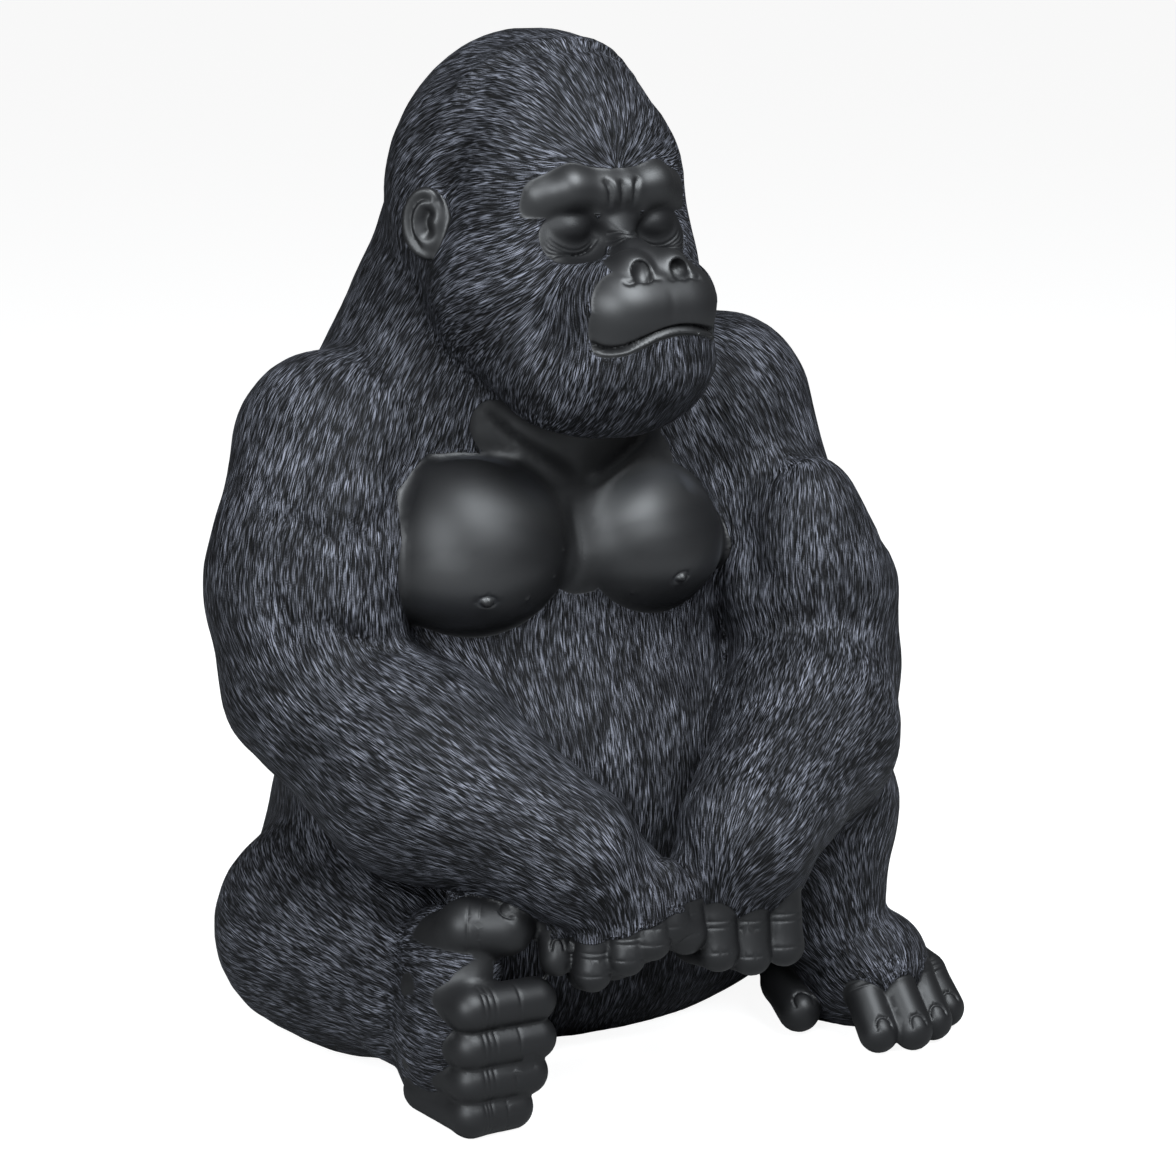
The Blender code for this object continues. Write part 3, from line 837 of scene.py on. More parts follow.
def soft_join(first: Field, second: Field, blend: float) -> Field:
    """Joins two measured solids.

    Args:
        first: One solid's distances and directions.
        second: The other's.
        blend: About the width of the fillet between them.

    Returns:
        The joined solid's distances and directions.
    """
    share = np.clip(0.5 + 0.5 * (second[0] - first[0]) / blend, 0.0, 1.0)
    distance = second[0] * (1 - share) + first[0] * share - blend * share * (1 - share)
    return distance, second[1] * (1 - share)[:, None] + first[1] * share[:, None]


def soft_carve(body: Field, tool: Field, blend: float) -> Field:
    """Takes a tool out of a body.

    Args:
        body: The body's distances and directions.
        tool: The tool's.
        blend: About the width of the rounding at the hollow's rim.

    Returns:
        The carved body's distances and directions.
    """
    share = np.clip(0.5 - 0.5 * (body[0] + tool[0]) / blend, 0.0, 1.0)
    distance = body[0] * (1 - share) - tool[0] * share + blend * share * (1 - share)
    return distance, body[1] * (1 - share)[:, None] - tool[1] * share[:, None]


def deepest(forms: list[Form], points: np.ndarray) -> np.ndarray:
    """Tells how deep points lie in the deepest of some forms, in metres and negative outside them all."""
    return np.max([-form.distance(points)[0] for form in forms], axis=0)


@dataclass
class Clay:
    """The whole figure as one solid of softly joined forms.

    groups holds the forms with the blend that joins each group to those before it, the trunk first. The
    patches are where skin is bare although the forms there are haired: the face's are the muzzle's two and
    then the lids'.
    """

    groups: list[tuple[float, list[Form]]]
    trunk_patches: list[Form]
    face_patches: list[Form]
    breasts: list[Form]
    head: Head

    def forms(self) -> list[Form]:
        """Lists the forms that add to the figure."""
        return [f for _, forms in self.groups for f in forms if not f.carve]

    def measure(self, points: np.ndarray) -> Field:
        """Measures the figure from points.

        Args:
            points: One point a row.

        Returns:
            Each point's distance to the surface and the outward direction there.
        """
        total = None
        for blend, forms in self.groups:
            distance, direction = np.full(len(points), FAR), np.zeros_like(points)
            for form in forms:
                near = form.near(points)
                if len(near) == 0:
                    continue
                join = soft_carve if form.carve else soft_join
                here = distance[near], direction[near]
                distance[near], direction[near] = join(here, form.distance(points[near]), form.blend)
            found = distance, direction
            total = found if total is None else soft_join(total, found, blend)
        length = np.maximum(np.linalg.norm(total[1], axis=1), 1e-9)
        return total[0], total[1] / length[:, None]

    def dropped(self, points: np.ndarray, rounds: int = 4) -> np.ndarray:
        """Moves points onto the figure's surface."""
        points = points.copy()
        for _ in range(rounds):
            distance, direction = self.measure(points)
            points -= np.clip(distance, -LONGEST_STEP, LONGEST_STEP)[:, None] * direction
        return points

    def bareness(self, points: np.ndarray) -> np.ndarray:
        """Tells how far each point lies inside the bare skin.

        Args:
            points: One point a row.

        Returns:
            The depth in metres, negative in the hair.
        """
        skin, trunk, rest = (np.full(len(points), REACH) for _ in range(3))
        for i, (_, forms) in enumerate(self.groups):
            for form in forms:
                near = form.near(points)
                if form.carve or len(near) == 0:
                    continue
                nearest = skin if form.cover is Cover.SKIN else trunk if i == 0 else rest
                nearest[near] = np.minimum(nearest[near], form.distance(points[near])[0])
        bare = np.minimum(trunk, rest) - skin
        bare = np.maximum(bare, np.minimum(deepest(self.trunk_patches, points), rest))
        face = np.minimum(deepest(self.face_patches, points), self.head.bare_under(points))
        return np.minimum(np.maximum(bare, face), self.fist_edge(points))

    def fist_edge(self, points: np.ndarray) -> np.ndarray:
        """Tells how far points lie below the edge where the hair of the fists ends, in metres."""
        x, y, z = points.T
        right_edge = np.interp(x, (-0.037, -0.004), (0.084, 0.095))
        edge = np.where(x < 0.001, right_edge, 0.098)
        fists = (y < -0.118) & (x > -0.052) & (x < 0.075) & (z < 0.15)
        return np.where(fists, edge - z, REACH)

    def shine(self, points: np.ndarray) -> np.ndarray:
        """Tells how much of the paint's gloss each point keeps, from 0 to 1."""
        chest_sheen = smooth_step(-0.004, 0.004, deepest(self.breasts, points))
        face = smooth_step(0.300, 0.325, points[:, 2])
        lids = smooth_step(-0.004, 0.002, deepest(self.face_patches[2:], points))
        return np.maximum(LIMB_SHINE + FACE_SHINE * face - LID_SHINE * lids, chest_sheen)

    def lie(self, points: np.ndarray, fall: float = 0.006) -> np.ndarray:
        """Gives the way the hair lies at each point.

        Args:
            points: One point a row.
            fall: How far outside a form its hair still pulls.

        Returns:
            One direction a row, not yet laid into the surface.
        """
        way = np.zeros_like(points)
        for form in self.forms():
            near = form.near(points)
            if len(near):
                weight = np.exp(-np.maximum(form.distance(points[near])[0], -fall) / fall)
                way[near] += form.lie(points[near]) * weight[:, None]
        return way


def active_mesh() -> bpy.types.Mesh:
    """Gives the active object's mesh."""
    return bpy.context.object.data


def co_of(mesh: bpy.types.Mesh) -> np.ndarray:
    """Reads a mesh's points, one a row."""
    points = np.empty(len(mesh.vertices) * 3)
    mesh.vertices.foreach_get("co", points)
    return points.reshape(-1, 3)


def put_co(mesh: bpy.types.Mesh, points: np.ndarray) -> None:
    """Writes a mesh's points."""
    mesh.vertices.foreach_set("co", points.ravel())
    mesh.update()


def edges_of(mesh: bpy.types.Mesh) -> np.ndarray:
    """Reads the two ends of each edge."""
    ends = np.empty(len(mesh.edges) * 2, dtype=np.int64)
    mesh.edges.foreach_get("vertices", ends)
    return ends.reshape(-1, 2)


def normals_of(mesh: bpy.types.Mesh) -> np.ndarray:
    """Reads the surface's direction at each point."""
    normals = np.empty(len(mesh.vertices) * 3)
    mesh.vertices.foreach_get("normal", normals)
    return normals.reshape(-1, 3)


def in_surface(way: np.ndarray, normals: np.ndarray) -> np.ndarray:
    """Lays directions into the surface that has these normals, one a row."""
    way = way - np.sum(way * normals, axis=1)[:, None] * normals
    return way / np.maximum(np.linalg.norm(way, axis=1), 1e-6)[:, None]


def smooth_step(low: float, high: float, value: np.ndarray) -> np.ndarray:
    """Goes smoothly from 0 at low to 1 at high."""
    t = np.clip((value - low) / (high - low), 0.0, 1.0)
    return t * t * (3 - 2 * t)


def follow(line: np.ndarray, points: np.ndarray, reach: float) -> tuple[np.ndarray, np.ndarray, np.ndarray]:
    """Finds the points along a line.

    Args:
        line: The line's own points.
        points: The points to look among.
        reach: How far from the line they may lie.

    Returns:
        The rows of the points that may be within reach, their distance to the line and their place along it.
    """
    low, high = line.min(axis=0) - reach, line.max(axis=0) + reach
    near = np.flatnonzero(np.all((points > low) & (points < high), axis=1))
    best, place = np.full(len(near), FAR), np.zeros(len(near))
    last = max(len(line) - 1, 1)
    for i, (a, b) in enumerate(zip(line, line[1:] if len(line) > 1 else line)):
        axis = b - a
        t = np.clip((points[near] - a) @ axis / max(axis @ axis, 1e-12), 0, 1)
        gap = np.linalg.norm(points[near] - a - t[:, None] * axis, axis=1)
        place = np.where(gap < best, (i + t) / last, place)
        best = np.minimum(best, gap)
    return near, best, place


@dataclass(frozen=True)
class Fine:
    """A ball in which the mesh is refined until its edges are this short."""

    centre: Vector
    radius: float
    edge: float


@dataclass
class Figurine:
    """The cast figure.

    The lumps melt into one skin at first_voxel's size and then at voxel's. tolerance is how far an edge may
    stray from the clay before it is split. The hair stands hair_height proud of the skin, more or less by
    tuft, in waves that wave_grain counts in a metre and that are drawn out by wave_reach each way.
    """

    clay: Clay
    strokes: list[Stroke]
    fine: list[Fine]
    first_voxel: float = 0.0036
    voxel: float = 0.0042
    tolerance: float = 0.00012
    shortest_split: float = 0.0012
    refinings: int = 3
    hair_height: float = 0.0007
    tuft: float = 0.0005
    wave_grain: float = 150.0
    wave_reach: float = 0.005
    lines: list[tuple[Stroke, np.ndarray]] = field(default_factory=list)

    def block_out(self) -> None:
        """Adds every form as a mesh of its own, a limb as the hull of the balls at its two ends."""
        for form in self.clay.forms():
            bpy.ops.object.select_all(action="DESELECT")
            if form.end is None:
                turn = [math.radians(a) for a in form.turn]
                bpy.ops.mesh.primitive_ico_sphere_add(
                    subdivisions=4, radius=1.0, location=form.centre, rotation=turn, scale=form.radii
                )
                continue
            for place, radius in ((form.centre, form.radii[0]), (form.end, form.radii[1])):
                bpy.ops.mesh.primitive_ico_sphere_add(subdivisions=3, radius=radius, location=place)
                if place is form.centre:
                    first = bpy.context.object
            first.select_set(True)
            bpy.ops.object.join()
            bpy.ops.object.mode_set(mode="EDIT")
            bpy.ops.mesh.select_all(action="SELECT")
            bpy.ops.mesh.delete(type="ONLY_FACE")
            bpy.ops.mesh.select_all(action="SELECT")
            bpy.ops.mesh.convex_hull()
            bpy.ops.object.mode_set(mode="OBJECT")

    def modify(self, kind: str, **settings) -> None:
        """Applies one modifier to the active object."""
        modifier = bpy.context.object.modifiers.new(kind.title(), kind)
        for name, value in settings.items():
            setattr(modifier, name, value)
        bpy.ops.object.modifier_apply(modifier=modifier.name)

    def settle(self) -> None:
        """Moves the mesh onto the clay's surface, except where it stands on the ground."""
        mesh = active_mesh()
        points = co_of(mesh)
        moving = points[:, 2] > GROUNDED
        points[moving] = self.clay.dropped(points[moving], 3)
        points[moving, 2] = np.maximum(points[moving, 2], CLEAR_OF_GROUND)
        put_co(mesh, points)

    def refine(self) -> int:
        """Splits the edges that are too long for the detail round them.

        Returns:
            How many edges there were.
        """
        mesh = active_mesh()
        points, ends = co_of(mesh), edges_of(mesh)
        middle = (points[ends[:, 0]] + points[ends[:, 1]]) / 2
        length = np.linalg.norm(points[ends[:, 0]] - points[ends[:, 1]], axis=1)
        split = np.zeros(len(ends), dtype=bool)
        lifted = (points[ends[:, 0], 2] > GROUNDED) | (points[ends[:, 1], 2] > GROUNDED)
        astray = np.abs(self.clay.measure(middle)[0]) > self.tolerance
        split |= astray & (length > self.shortest_split)
        for ball in self.fine:
            inside = np.linalg.norm(middle - np.array(ball.centre), axis=1) < ball.radius
            split |= inside & (length > ball.edge * 1.35)
        for tool, line in self.lines:
            near, gap, _ = follow(line, middle, 2.2 * tool.width)
            split[near[(gap < 2.2 * tool.width) & (length[near] > 1.1 * tool.width)]] = True
        split &= lifted
        bpy.ops.object.mode_set(mode="EDIT")
        bpy.ops.mesh.select_mode(type="EDGE")
        bpy.ops.mesh.select_all(action="DESELECT")
        bpy.ops.object.mode_set(mode="OBJECT")
        mesh.edges.foreach_set("select", split)
        bpy.ops.object.mode_set(mode="EDIT")
        bpy.ops.mesh.subdivide(number_cuts=1)
        bpy.ops.mesh.select_all(action="SELECT")
        bpy.ops.mesh.quads_convert_to_tris()
        bpy.ops.object.mode_set(mode="OBJECT")
        return int(split.sum())

    def even_out(self, share: float = 0.5) -> None:
        """Moves each point part of the way to the middle of its neighbours."""
        mesh = active_mesh()
        points, ends = co_of(mesh), edges_of(mesh)
        moving = points[:, 2] > GROUNDED
        total, count = np.zeros_like(points), np.zeros(len(points))
        for a, b in ((0, 1), (1, 0)):
            np.add.at(total, ends[:, a], points[ends[:, b]])
            np.add.at(count, ends[:, a], 1)
        target = total / count[:, None]
        points[moving] += (target - points)[moving] * share
        put_co(mesh, points)

    def relief(self, points: np.ndarray, bare: np.ndarray, way: np.ndarray) -> np.ndarray:
        """Works out the fine relief: the tools' strokes and the tufts of the hair.

        Args:
            points: One point a row.
            bare: How deep each point lies in the bare skin.
            way: The way the hair lies there.

        Returns:
            How far each point moves outwards.
        """
        height = np.zeros(len(points))
        for tool, line in self.lines:
            near, gap, place = follow(line, points, 3 * tool.width)
            if len(near) == 0:
                continue
            shape = np.exp(-((gap / tool.width) ** 2))
            if tool.fade > 0 and len(line) > 1:
                shape *= np.clip(np.minimum(place, 1 - place) / tool.fade, 0, 1) ** 0.7
            height[near] -= tool.depth * shape
        hairy = smooth_step(0.0004, -0.0010, bare)
        waves = np.zeros(len(points))
        for k, weight in ((-1.0, 0.25), (0.0, 0.5), (1.0, 0.25)):
            moved = (points + way * (self.wave_reach * k)) * self.wave_grain
            waves += weight * np.array([noise.noise(Vector(p)) for p in moved])
        return height + hairy * (self.hair_height + self.tuft * waves)

    def laid(self, mesh: bpy.types.Mesh, rounds: int = 30) -> np.ndarray:
        """Lays the hair's direction into the surface and evens it out.

        Args:
            mesh: The mesh to lay it on.
            rounds: How often each point takes its neighbours' mean.

        Returns:
            One direction a row.
        """
        points, normals, ends = co_of(mesh), normals_of(mesh), edges_of(mesh)
        way = self.clay.lie(points)
        for i in range(rounds + 1):
            way = in_surface(way, normals)
            if i < rounds:
                total = way.copy()
                np.add.at(total, ends[:, 0], way[ends[:, 1]])
                np.add.at(total, ends[:, 1], way[ends[:, 0]])
                way = total
        return way

    def skin_over(self) -> None:
        """Joins the lumps into one skin on the clay's surface, cut flat at the ground."""
        figure = bpy.context.object
        figure.name = figure.data.name = "figurine"
        for voxel in (self.first_voxel, self.voxel):
            self.modify("REMESH", mode="VOXEL", voxel_size=voxel)
            self.settle()
        bpy.ops.object.mode_set(mode="EDIT")
        bpy.ops.mesh.select_all(action="SELECT")
        bpy.ops.mesh.bisect(plane_co=(0, 0, 0), plane_no=(0, 0, 1), clear_inner=True, use_fill=True)
        bpy.ops.mesh.select_all(action="SELECT")
        bpy.ops.mesh.quads_convert_to_tris()
        bpy.ops.object.mode_set(mode="OBJECT")
        LOG.info("base mesh: %d faces", len(figure.data.polygons))
        for _ in range(self.refinings):
            count = self.refine()
            self.settle()
            LOG.info("refined %d edges: %d faces", count, len(figure.data.polygons))
        self.even_out()
        self.settle()

    def finish(self) -> None:
        """Carves the relief and stores what the shader reads."""
        mesh = active_mesh()
        points = co_of(mesh)
        bare, way = self.clay.bareness(points), self.laid(mesh)
        height = self.relief(points, bare, way)
        moving = points[:, 2] > GROUNDED
        direction = self.clay.measure(points)[1]
        points[moving] += (direction * height[:, None])[moving]
        put_co(mesh, points)
        way = in_surface(way, normals_of(mesh))
        bpy.ops.object.shade_smooth_by_angle(angle=math.radians(70))
        # breast_sheen marks the chest, where the shader paints a sheen into the colour.
        breast_sheen = smooth_step(-0.001, 0.005, deepest(self.clay.breasts, points))
        stored = {"bare": bare * 1000.0, "breast_sheen": breast_sheen, "shine": self.clay.shine(points)}
        for name, values in stored.items():
            mesh.attributes.new(name, "FLOAT", "POINT").data.foreach_set("value", values)
        mesh.attributes.new("lie", "FLOAT_VECTOR", "POINT").data.foreach_set("vector", way.ravel())

    def build(self) -> bpy.types.Object:
        """Builds the figure and its attributes.

        Returns:
            The figure's object.
        """
        self.lines = [(tool, self.clay.dropped(tool.curve(), 6)) for tool in self.strokes]
        before = set(bpy.data.objects)
        self.block_out()
        lumps = [o for o in bpy.data.objects if o not in before]
        bpy.ops.object.select_all(action="DESELECT")
        for lump in lumps:
            lump.select_set(True)
        bpy.context.view_layer.objects.active = lumps[0]
        bpy.ops.object.join()
        bpy.ops.object.transform_apply(location=True, rotation=True, scale=True)
        self.skin_over()
        self.finish()
        return bpy.context.object


class Nodes:
    """Writes nodes into a tree."""

    def __init__(self, tree: bpy.types.NodeTree) -> None:
        """Takes the tree to write into."""
        self.tree = tree

    def add(self, kind: str, inputs: dict | None = None, **settings) -> bpy.types.Node:
        """Adds a node.

        Args:
            kind: The node's type.
            inputs: Sockets by name or number, each with a value or an output socket to link.
            settings: The node's own settings.

        Returns:
            The node.
        """
        node = self.tree.nodes.new(kind)
        for name, value in settings.items():
            setattr(node, name, value)
        for name, value in (inputs or {}).items():
            if isinstance(value, bpy.types.NodeSocket):
                self.tree.links.new(value, node.inputs[name])
            else:
                node.inputs[name].default_value = value
        return node

    def stored(self, name: str, output: str = "Fac") -> bpy.types.NodeSocket:
        """Reads one of the mesh's attributes."""
        return self.add("ShaderNodeAttribute", attribute_name=name).outputs[output]

    def math(self, operation: str, *values: Value) -> bpy.types.NodeSocket:
        """Adds a sum and gives its result."""
        return self.add("ShaderNodeMath", dict(enumerate(values)), operation=operation).outputs[0]

    def ramp(
        self, value: Value, low: float, high: float, start: float = 0.0, end: float = 1.0
    ) -> bpy.types.NodeSocket:
        """Goes smoothly from start at low to end at high."""
        sockets = {0: value, 1: low, 2: high, 3: start, 4: end}
        return self.add("ShaderNodeMapRange", sockets, interpolation_type="SMOOTHSTEP").outputs[0]

    def mix(self, share: Value, first: Value, second: Value) -> bpy.types.NodeSocket:
        """Mixes two colours."""
        return self.add("ShaderNodeMix", {0: share, 6: first, 7: second}, data_type="RGBA").outputs[2]


@dataclass(frozen=True)
class Combed:
    """A pattern of fine strokes that follow the way the hair lies."""

    name: str = "combed strokes"
    samples: int = 9

    def group(self) -> bpy.types.NodeTree:
        """Builds the node group: noise averaged along the hair's direction.

        Returns:
            The group, with inputs Lie, Grain and Reach, and the output Value about 0.5.
        """
        tree = bpy.data.node_groups.new(self.name, "ShaderNodeTree")
        inputs = {"Lie": "NodeSocketVector", "Grain": "NodeSocketFloat", "Reach": "NodeSocketFloat"}
        for name, kind in inputs.items():
            tree.interface.new_socket(name, in_out="INPUT", socket_type=kind)
        tree.interface.new_socket("Value", in_out="OUTPUT", socket_type="NodeSocketFloat")
        nodes = Nodes(tree)
        given = nodes.add("NodeGroupInput")
        place = nodes.add("ShaderNodeTexCoord").outputs["Object"]
        half = (self.samples - 1) / 2
        weights = [math.exp(-1.5 * ((i - half) / half) ** 2) for i in range(self.samples)]
        total = 0.0
        for i, weight in enumerate(weights):
            step = nodes.math("MULTIPLY", given.outputs["Reach"], (i - half) / half)
            sockets = {0: given.outputs["Lie"], "Scale": step}
            shift = nodes.add("ShaderNodeVectorMath", sockets, operation="SCALE")
            spot = nodes.add("ShaderNodeVectorMath", {0: place, 1: shift.outputs[0]}, operation="ADD")
            grain = nodes.add(
                "ShaderNodeTexNoise",
                {"Vector": spot.outputs[0], "Scale": given.outputs["Grain"], "Detail": 0.0},
                noise_dimensions="3D",
            )
            total = nodes.math("MULTIPLY_ADD", grain.outputs[0], weight / sum(weights), total)
        nodes.add("NodeGroupOutput", {"Value": total})
        return tree


@dataclass(frozen=True)
class Resin:
    """Satin black paint over the cast, with a blue-grey brushed over the carved hair.

    The grains count the noise's cells in a metre and the reaches are half the strokes' lengths. The heights
    are the bump's. The hair's edge is where bare skin starts and ends, in millimetres. The breast_sheen
    colour, lighter than the skin's black, is a painted sheen on the chest, and the light blue-grey on the
    hair's ridges is brushed paint and also a painted highlight on the strokes.
    """

    skin: tuple[float, ...] = (0.0050, 0.0050, 0.0055, 1.0)
    # A painted sheen: the chest's colour is lighter than the skin's black to stand in for its broad gloss.
    breast_sheen: tuple[float, ...] = (0.105, 0.114, 0.137, 1.0)
    groove: tuple[float, ...] = (0.0018, 0.0018, 0.0020, 1.0)
    # The ridges' blue-grey is brushed paint and also a painted highlight on the hair's strokes.
    ridge_paint_and_highlight: tuple[float, ...] = (0.170, 0.176, 0.208, 1.0)
    hair_roughness: float = 0.60
    gloss: float = 0.12
    coat_roughness: float = 0.45
    coat_index: float = 2.25
    fine_grain: float = 1900.0
    fine_reach: float = 0.0024
    coarse_grain: float = 640.0
    coarse_reach: float = 0.0042
    strand_height: float = 0.00024
    clump_height: float = 0.00055
    hair_edge: tuple[float, float] = (0.35, -0.25)
    worn_grain: float = 60.0

    def material(self) -> bpy.types.Material:
        """Builds the material."""
        material = bpy.data.materials.new("resin")
        material.use_nodes = True
        nodes, links = Nodes(material.node_tree), material.node_tree.links
        shader = material.node_tree.nodes["Principled BSDF"]
        combed = Combed().group()
        lie = nodes.stored("lie", "Vector")
        bare, chest_sheen, shine = (nodes.stored(name) for name in ("bare", "breast_sheen", "shine"))
        fine, coarse = (
            nodes.add("ShaderNodeGroup", {"Lie": lie, "Grain": grain, "Reach": reach}, node_tree=combed)
            for grain, reach in ((self.fine_grain, self.fine_reach), (self.coarse_grain, self.coarse_reach))
        )
        fine, coarse = fine.outputs[0], coarse.outputs[0]
        hairy = nodes.ramp(bare, *self.hair_edge)
        # The chest takes the breast_sheen colour, a painted sheen, in place of the skin's black.
        colour = nodes.mix(hairy, nodes.mix(chest_sheen, self.skin, self.breast_sheen), self.hair(nodes, fine, coarse))
        coat = nodes.math("MULTIPLY", nodes.ramp(hairy, 0.0, 1.0, 1.0, 0.0), shine)
        strand = nodes.math("MULTIPLY", nodes.ramp(fine, 0.40, 0.60), self.strand_height)
        clump = nodes.math("MULTIPLY", nodes.ramp(coarse, 0.38, 0.62), self.clump_height)
        height = nodes.math("MULTIPLY", nodes.math("ADD", strand, clump), hairy)
        bump = nodes.add("ShaderNodeBump", {"Strength": 1.0, "Distance": 1.0, "Height": height})
        links.new(colour, shader.inputs["Base Color"])
        links.new(coat, shader.inputs["Coat Weight"])
        shader.inputs["Roughness"].default_value = self.hair_roughness
        shader.inputs["Specular IOR Level"].default_value = self.gloss
        shader.inputs["Coat Roughness"].default_value = self.coat_roughness
        shader.inputs["Coat IOR"].default_value = self.coat_index
        links.new(bump.outputs[0], shader.inputs["Normal"])
        return material

    def hair(self, nodes: Nodes, fine: Value, coarse: Value) -> bpy.types.NodeSocket:
        """Colours the hair: the ridges of the strokes are light where the brushed paint isn't worn.

        Args:
            nodes: The material's nodes.
            fine: The pattern of single hairs.
            coarse: The pattern of locks.

        Returns:
            The colour, whose light ridges are brushed paint and also a painted highlight on the strokes.
        """
        place = nodes.add("ShaderNodeTexCoord").outputs["Object"]
        patches = nodes.add("ShaderNodeTexNoise", {"Scale": self.worn_grain, "Detail": 1.0, "Vector": place})
        worn = nodes.ramp(patches.outputs[0], 0.30, 0.70, 0.45, 1.0)
        # lit marks the raised strokes and locks, which take the brushed paint and a painted highlight.
        lit = nodes.math("MULTIPLY", nodes.ramp(fine, 0.465, 0.595), nodes.ramp(coarse, 0.38, 0.58, 0.15))
        return nodes.mix(nodes.math("MULTIPLY", lit, worn), self.groove, self.ridge_paint_and_highlight)


@dataclass(frozen=True)
class Lamp:
    """A square soft light that faces the figure."""

    name: str
    place: Place
    size: float
    power: float

    def build(self, colour: Place) -> None:
        """Adds the light."""
        bpy.ops.object.light_add(type="AREA", location=self.place)
        lamp = bpy.context.object
        lamp.name = self.name
        lamp.data.size, lamp.data.energy, lamp.data.color = self.size, self.power, colour
        way = Vector((0, 0, 0.22)) - Vector(self.place)
        lamp.rotation_euler = way.to_track_quat("-Z", "Y").to_euler()


@dataclass(frozen=True)
class Studio:
    """The floor, the backdrop, the lamps and the camera.

    floor_glow and backdrop are what the camera sees beside the light itself, and mirrored is the share of the
    backdrop that shows in what is glossy or clear.
    """

    target: Vector = field(default_factory=lambda: Vector((0.02337, 0.02305, 0.201)))
    azimuth: float = -25.0
    elevation: float = 12.0
    distance: float = 1.5
    focal: float = 98.57
    cool: tuple[float, ...] = (0.90, 0.955, 1.0)
    floor_grey: float = 0.30
    floor_glow: float = 0.92
    ambient: float = 0.06
    backdrop: float = 0.94
    mirrored: float = 0.05
    lamps: tuple[Lamp, ...] = (
        Lamp("key", (-1.25, -1.15, 0.95), 0.9, 36),
        Lamp("top", (0.20, -1.20, 1.75), 1.2, 84),
    )

    def lay_floor(self) -> None:
        """Lays the pale floor, which keeps the figure's shadow."""
        bpy.ops.mesh.primitive_plane_add(size=60.0, location=(0, 0, 0))
        floor = bpy.context.object
        floor.name = "floor"
        material = bpy.data.materials.new("floor")
        material.use_nodes = True
        nodes = Nodes(material.node_tree)
        shader = material.node_tree.nodes["Principled BSDF"]
        shader.inputs["Base Color"].default_value = (self.floor_grey, self.floor_grey, self.floor_grey, 1.0)
        shader.inputs["Roughness"].default_value = 0.9
        shader.inputs["Specular IOR Level"].default_value = 0.0
        path = nodes.add("ShaderNodeLightPath")
        seen = nodes.math("MULTIPLY", path.outputs["Is Camera Ray"], self.floor_glow)
        shader.inputs["Emission Color"].default_value = (1.0, 1.0, 1.0, 1.0)
        material.node_tree.links.new(seen, shader.inputs["Emission Strength"])
        floor.data.materials.append(material)

    def hang_backdrop(self) -> None:
        """Puts a white backdrop all round, which lights the figure only a little."""
        world = bpy.data.worlds.new("studio")
        world.use_nodes = True
        bpy.context.scene.world = world
        nodes = Nodes(world.node_tree)
        back = world.node_tree.nodes["Background"]
        back.inputs[0].default_value = (1.0, 1.0, 1.0, 1.0)
        path = nodes.add("ShaderNodeLightPath")
        mirrored = nodes.math("ADD", path.outputs["Is Glossy Ray"], path.outputs["Is Transmission Ray"])
        strength = nodes.math("MULTIPLY_ADD", path.outputs["Is Camera Ray"], self.backdrop, self.ambient)
        strength = nodes.math("MULTIPLY_ADD", mirrored, self.mirrored, strength)
        world.node_tree.links.new(strength, back.inputs[1])

    def place_camera(self) -> None:
        """Places the camera where the photographer's stood."""
        bpy.ops.object.camera_add()
        camera = bpy.context.object
        camera.name = "camera"
        a, e = math.radians(self.azimuth), math.radians(self.elevation)
        back_way = Vector((math.sin(a) * math.cos(e), -math.cos(a) * math.cos(e), math.sin(e)))
        camera.location = self.target + back_way * self.distance
        camera.rotation_euler = (-back_way).to_track_quat("-Z", "Y").to_euler()
        camera.data.sensor_width = 36.0
        camera.data.lens = self.focal
        bpy.context.scene.camera = camera
        bpy.context.scene.view_settings.view_transform = "Standard"

    def build(self) -> None:
        """Sets the floor, the light and the camera up."""
        self.lay_floor()
        self.hang_backdrop()
        for lamp in self.lamps:
            lamp.build(self.cool)
        self.place_camera()


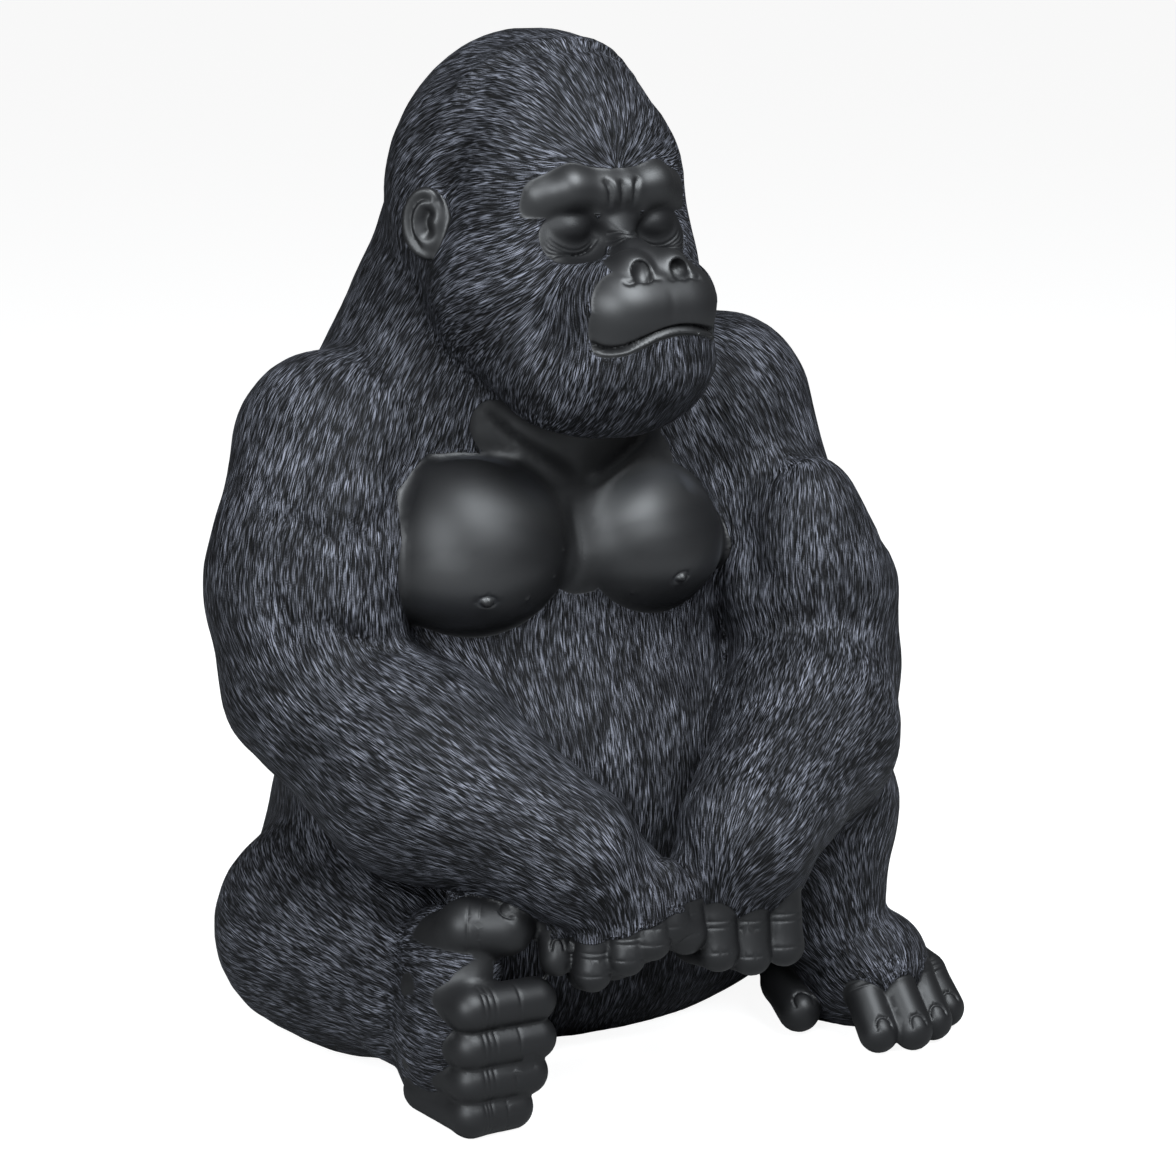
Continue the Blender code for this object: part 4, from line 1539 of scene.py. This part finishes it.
def sculpture() -> Clay:
    """Gives the whole figure in clay."""
    right_swell, right_shift = Vector((0.002, 0.0, -0.009)), Vector((0.002, 0.0, -0.002))
    left_swell, left_shift = Vector((0.009, 0.0, -0.002)), Vector((-0.001, 0.0, 0.005))
    right = Arm(RIGHT_ELBOW, RIGHT_WRIST, -1, 0.037, 0.045, right_swell, right_shift, -0.015)
    left = Arm(LEFT_ELBOW, LEFT_WRIST, 1, 0.037, 0.039, left_swell, left_shift, 0.009)
    return Clay(
        [
            (0.0, Torso().forms()),
            (0.005, Breast().forms()),
            (0.008, Head().forms()),
            (0.010, RightLeg().forms()),
            (0.010, LeftLeg().forms()),
            (0.007, right.forms()),
            (0.007, left.forms()),
            (0.005, RightHand().forms()),
            (0.005, LeftHand().forms()),
            (0.005, RightFoot().forms()),
            (0.005, LeftFoot().forms()),
        ],
        Breast().patches(),
        Head().patches(),
        Breast().forms()[2:7],
        Head(),
    )


def fine_balls() -> list[Fine]:
    """Gives the places whose detail needs a finer mesh."""
    frame = Head().frame()
    return [
        Fine(frame @ Vector((0.0, -0.060, -0.006)), 0.052, 0.0015),
        *[Fine(frame @ Vector((0.062 * side, 0.004, 0.007)), 0.021, 0.0011) for side in (-1, 1)],
        Fine(frame @ Vector((0.0, -0.075, -0.008)), 0.020, 0.0010),
        *[Fine(frame @ Vector((0.021 * side, -0.046, 0.001)), 0.019, 0.0010) for side in (-1, 1)],
    ]


def put_in_frame(mesh: bpy.types.Mesh) -> None:
    """Moves the figure from the sculptor's frame into the part's, and trims it to the part's box."""
    points = co_of(mesh) - np.array(FOOTPRINT)
    low, high = (np.array(corner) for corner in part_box("gorilla"))
    over = np.maximum(low - points.min(axis=0), points.max(axis=0) - high)
    LOG.info("stands out of the box by %s mm", np.round(1000 * over, 2))
    put_co(mesh, np.clip(points, low, high))


def main() -> None:
    """Builds the figure and the studio round it."""
    logging.basicConfig(level=logging.INFO, format="%(message)s")
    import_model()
    strokes = muscle_lines()
    for part in (Head(), Breast(), RightHand(), LeftHand(), RightFoot(), LeftFoot()):
        strokes += part.strokes()
    figure = Figurine(sculpture(), strokes, fine_balls()).build()
    mesh = figure.data
    put_in_frame(mesh)
    mesh.materials.clear()
    mesh.materials.append(Resin().material())
    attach(figure, "root")
    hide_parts("gorilla")
    LOG.info("figurine: %d faces", len(mesh.polygons))
    Studio().build()


if __name__ == "__main__":
    main()
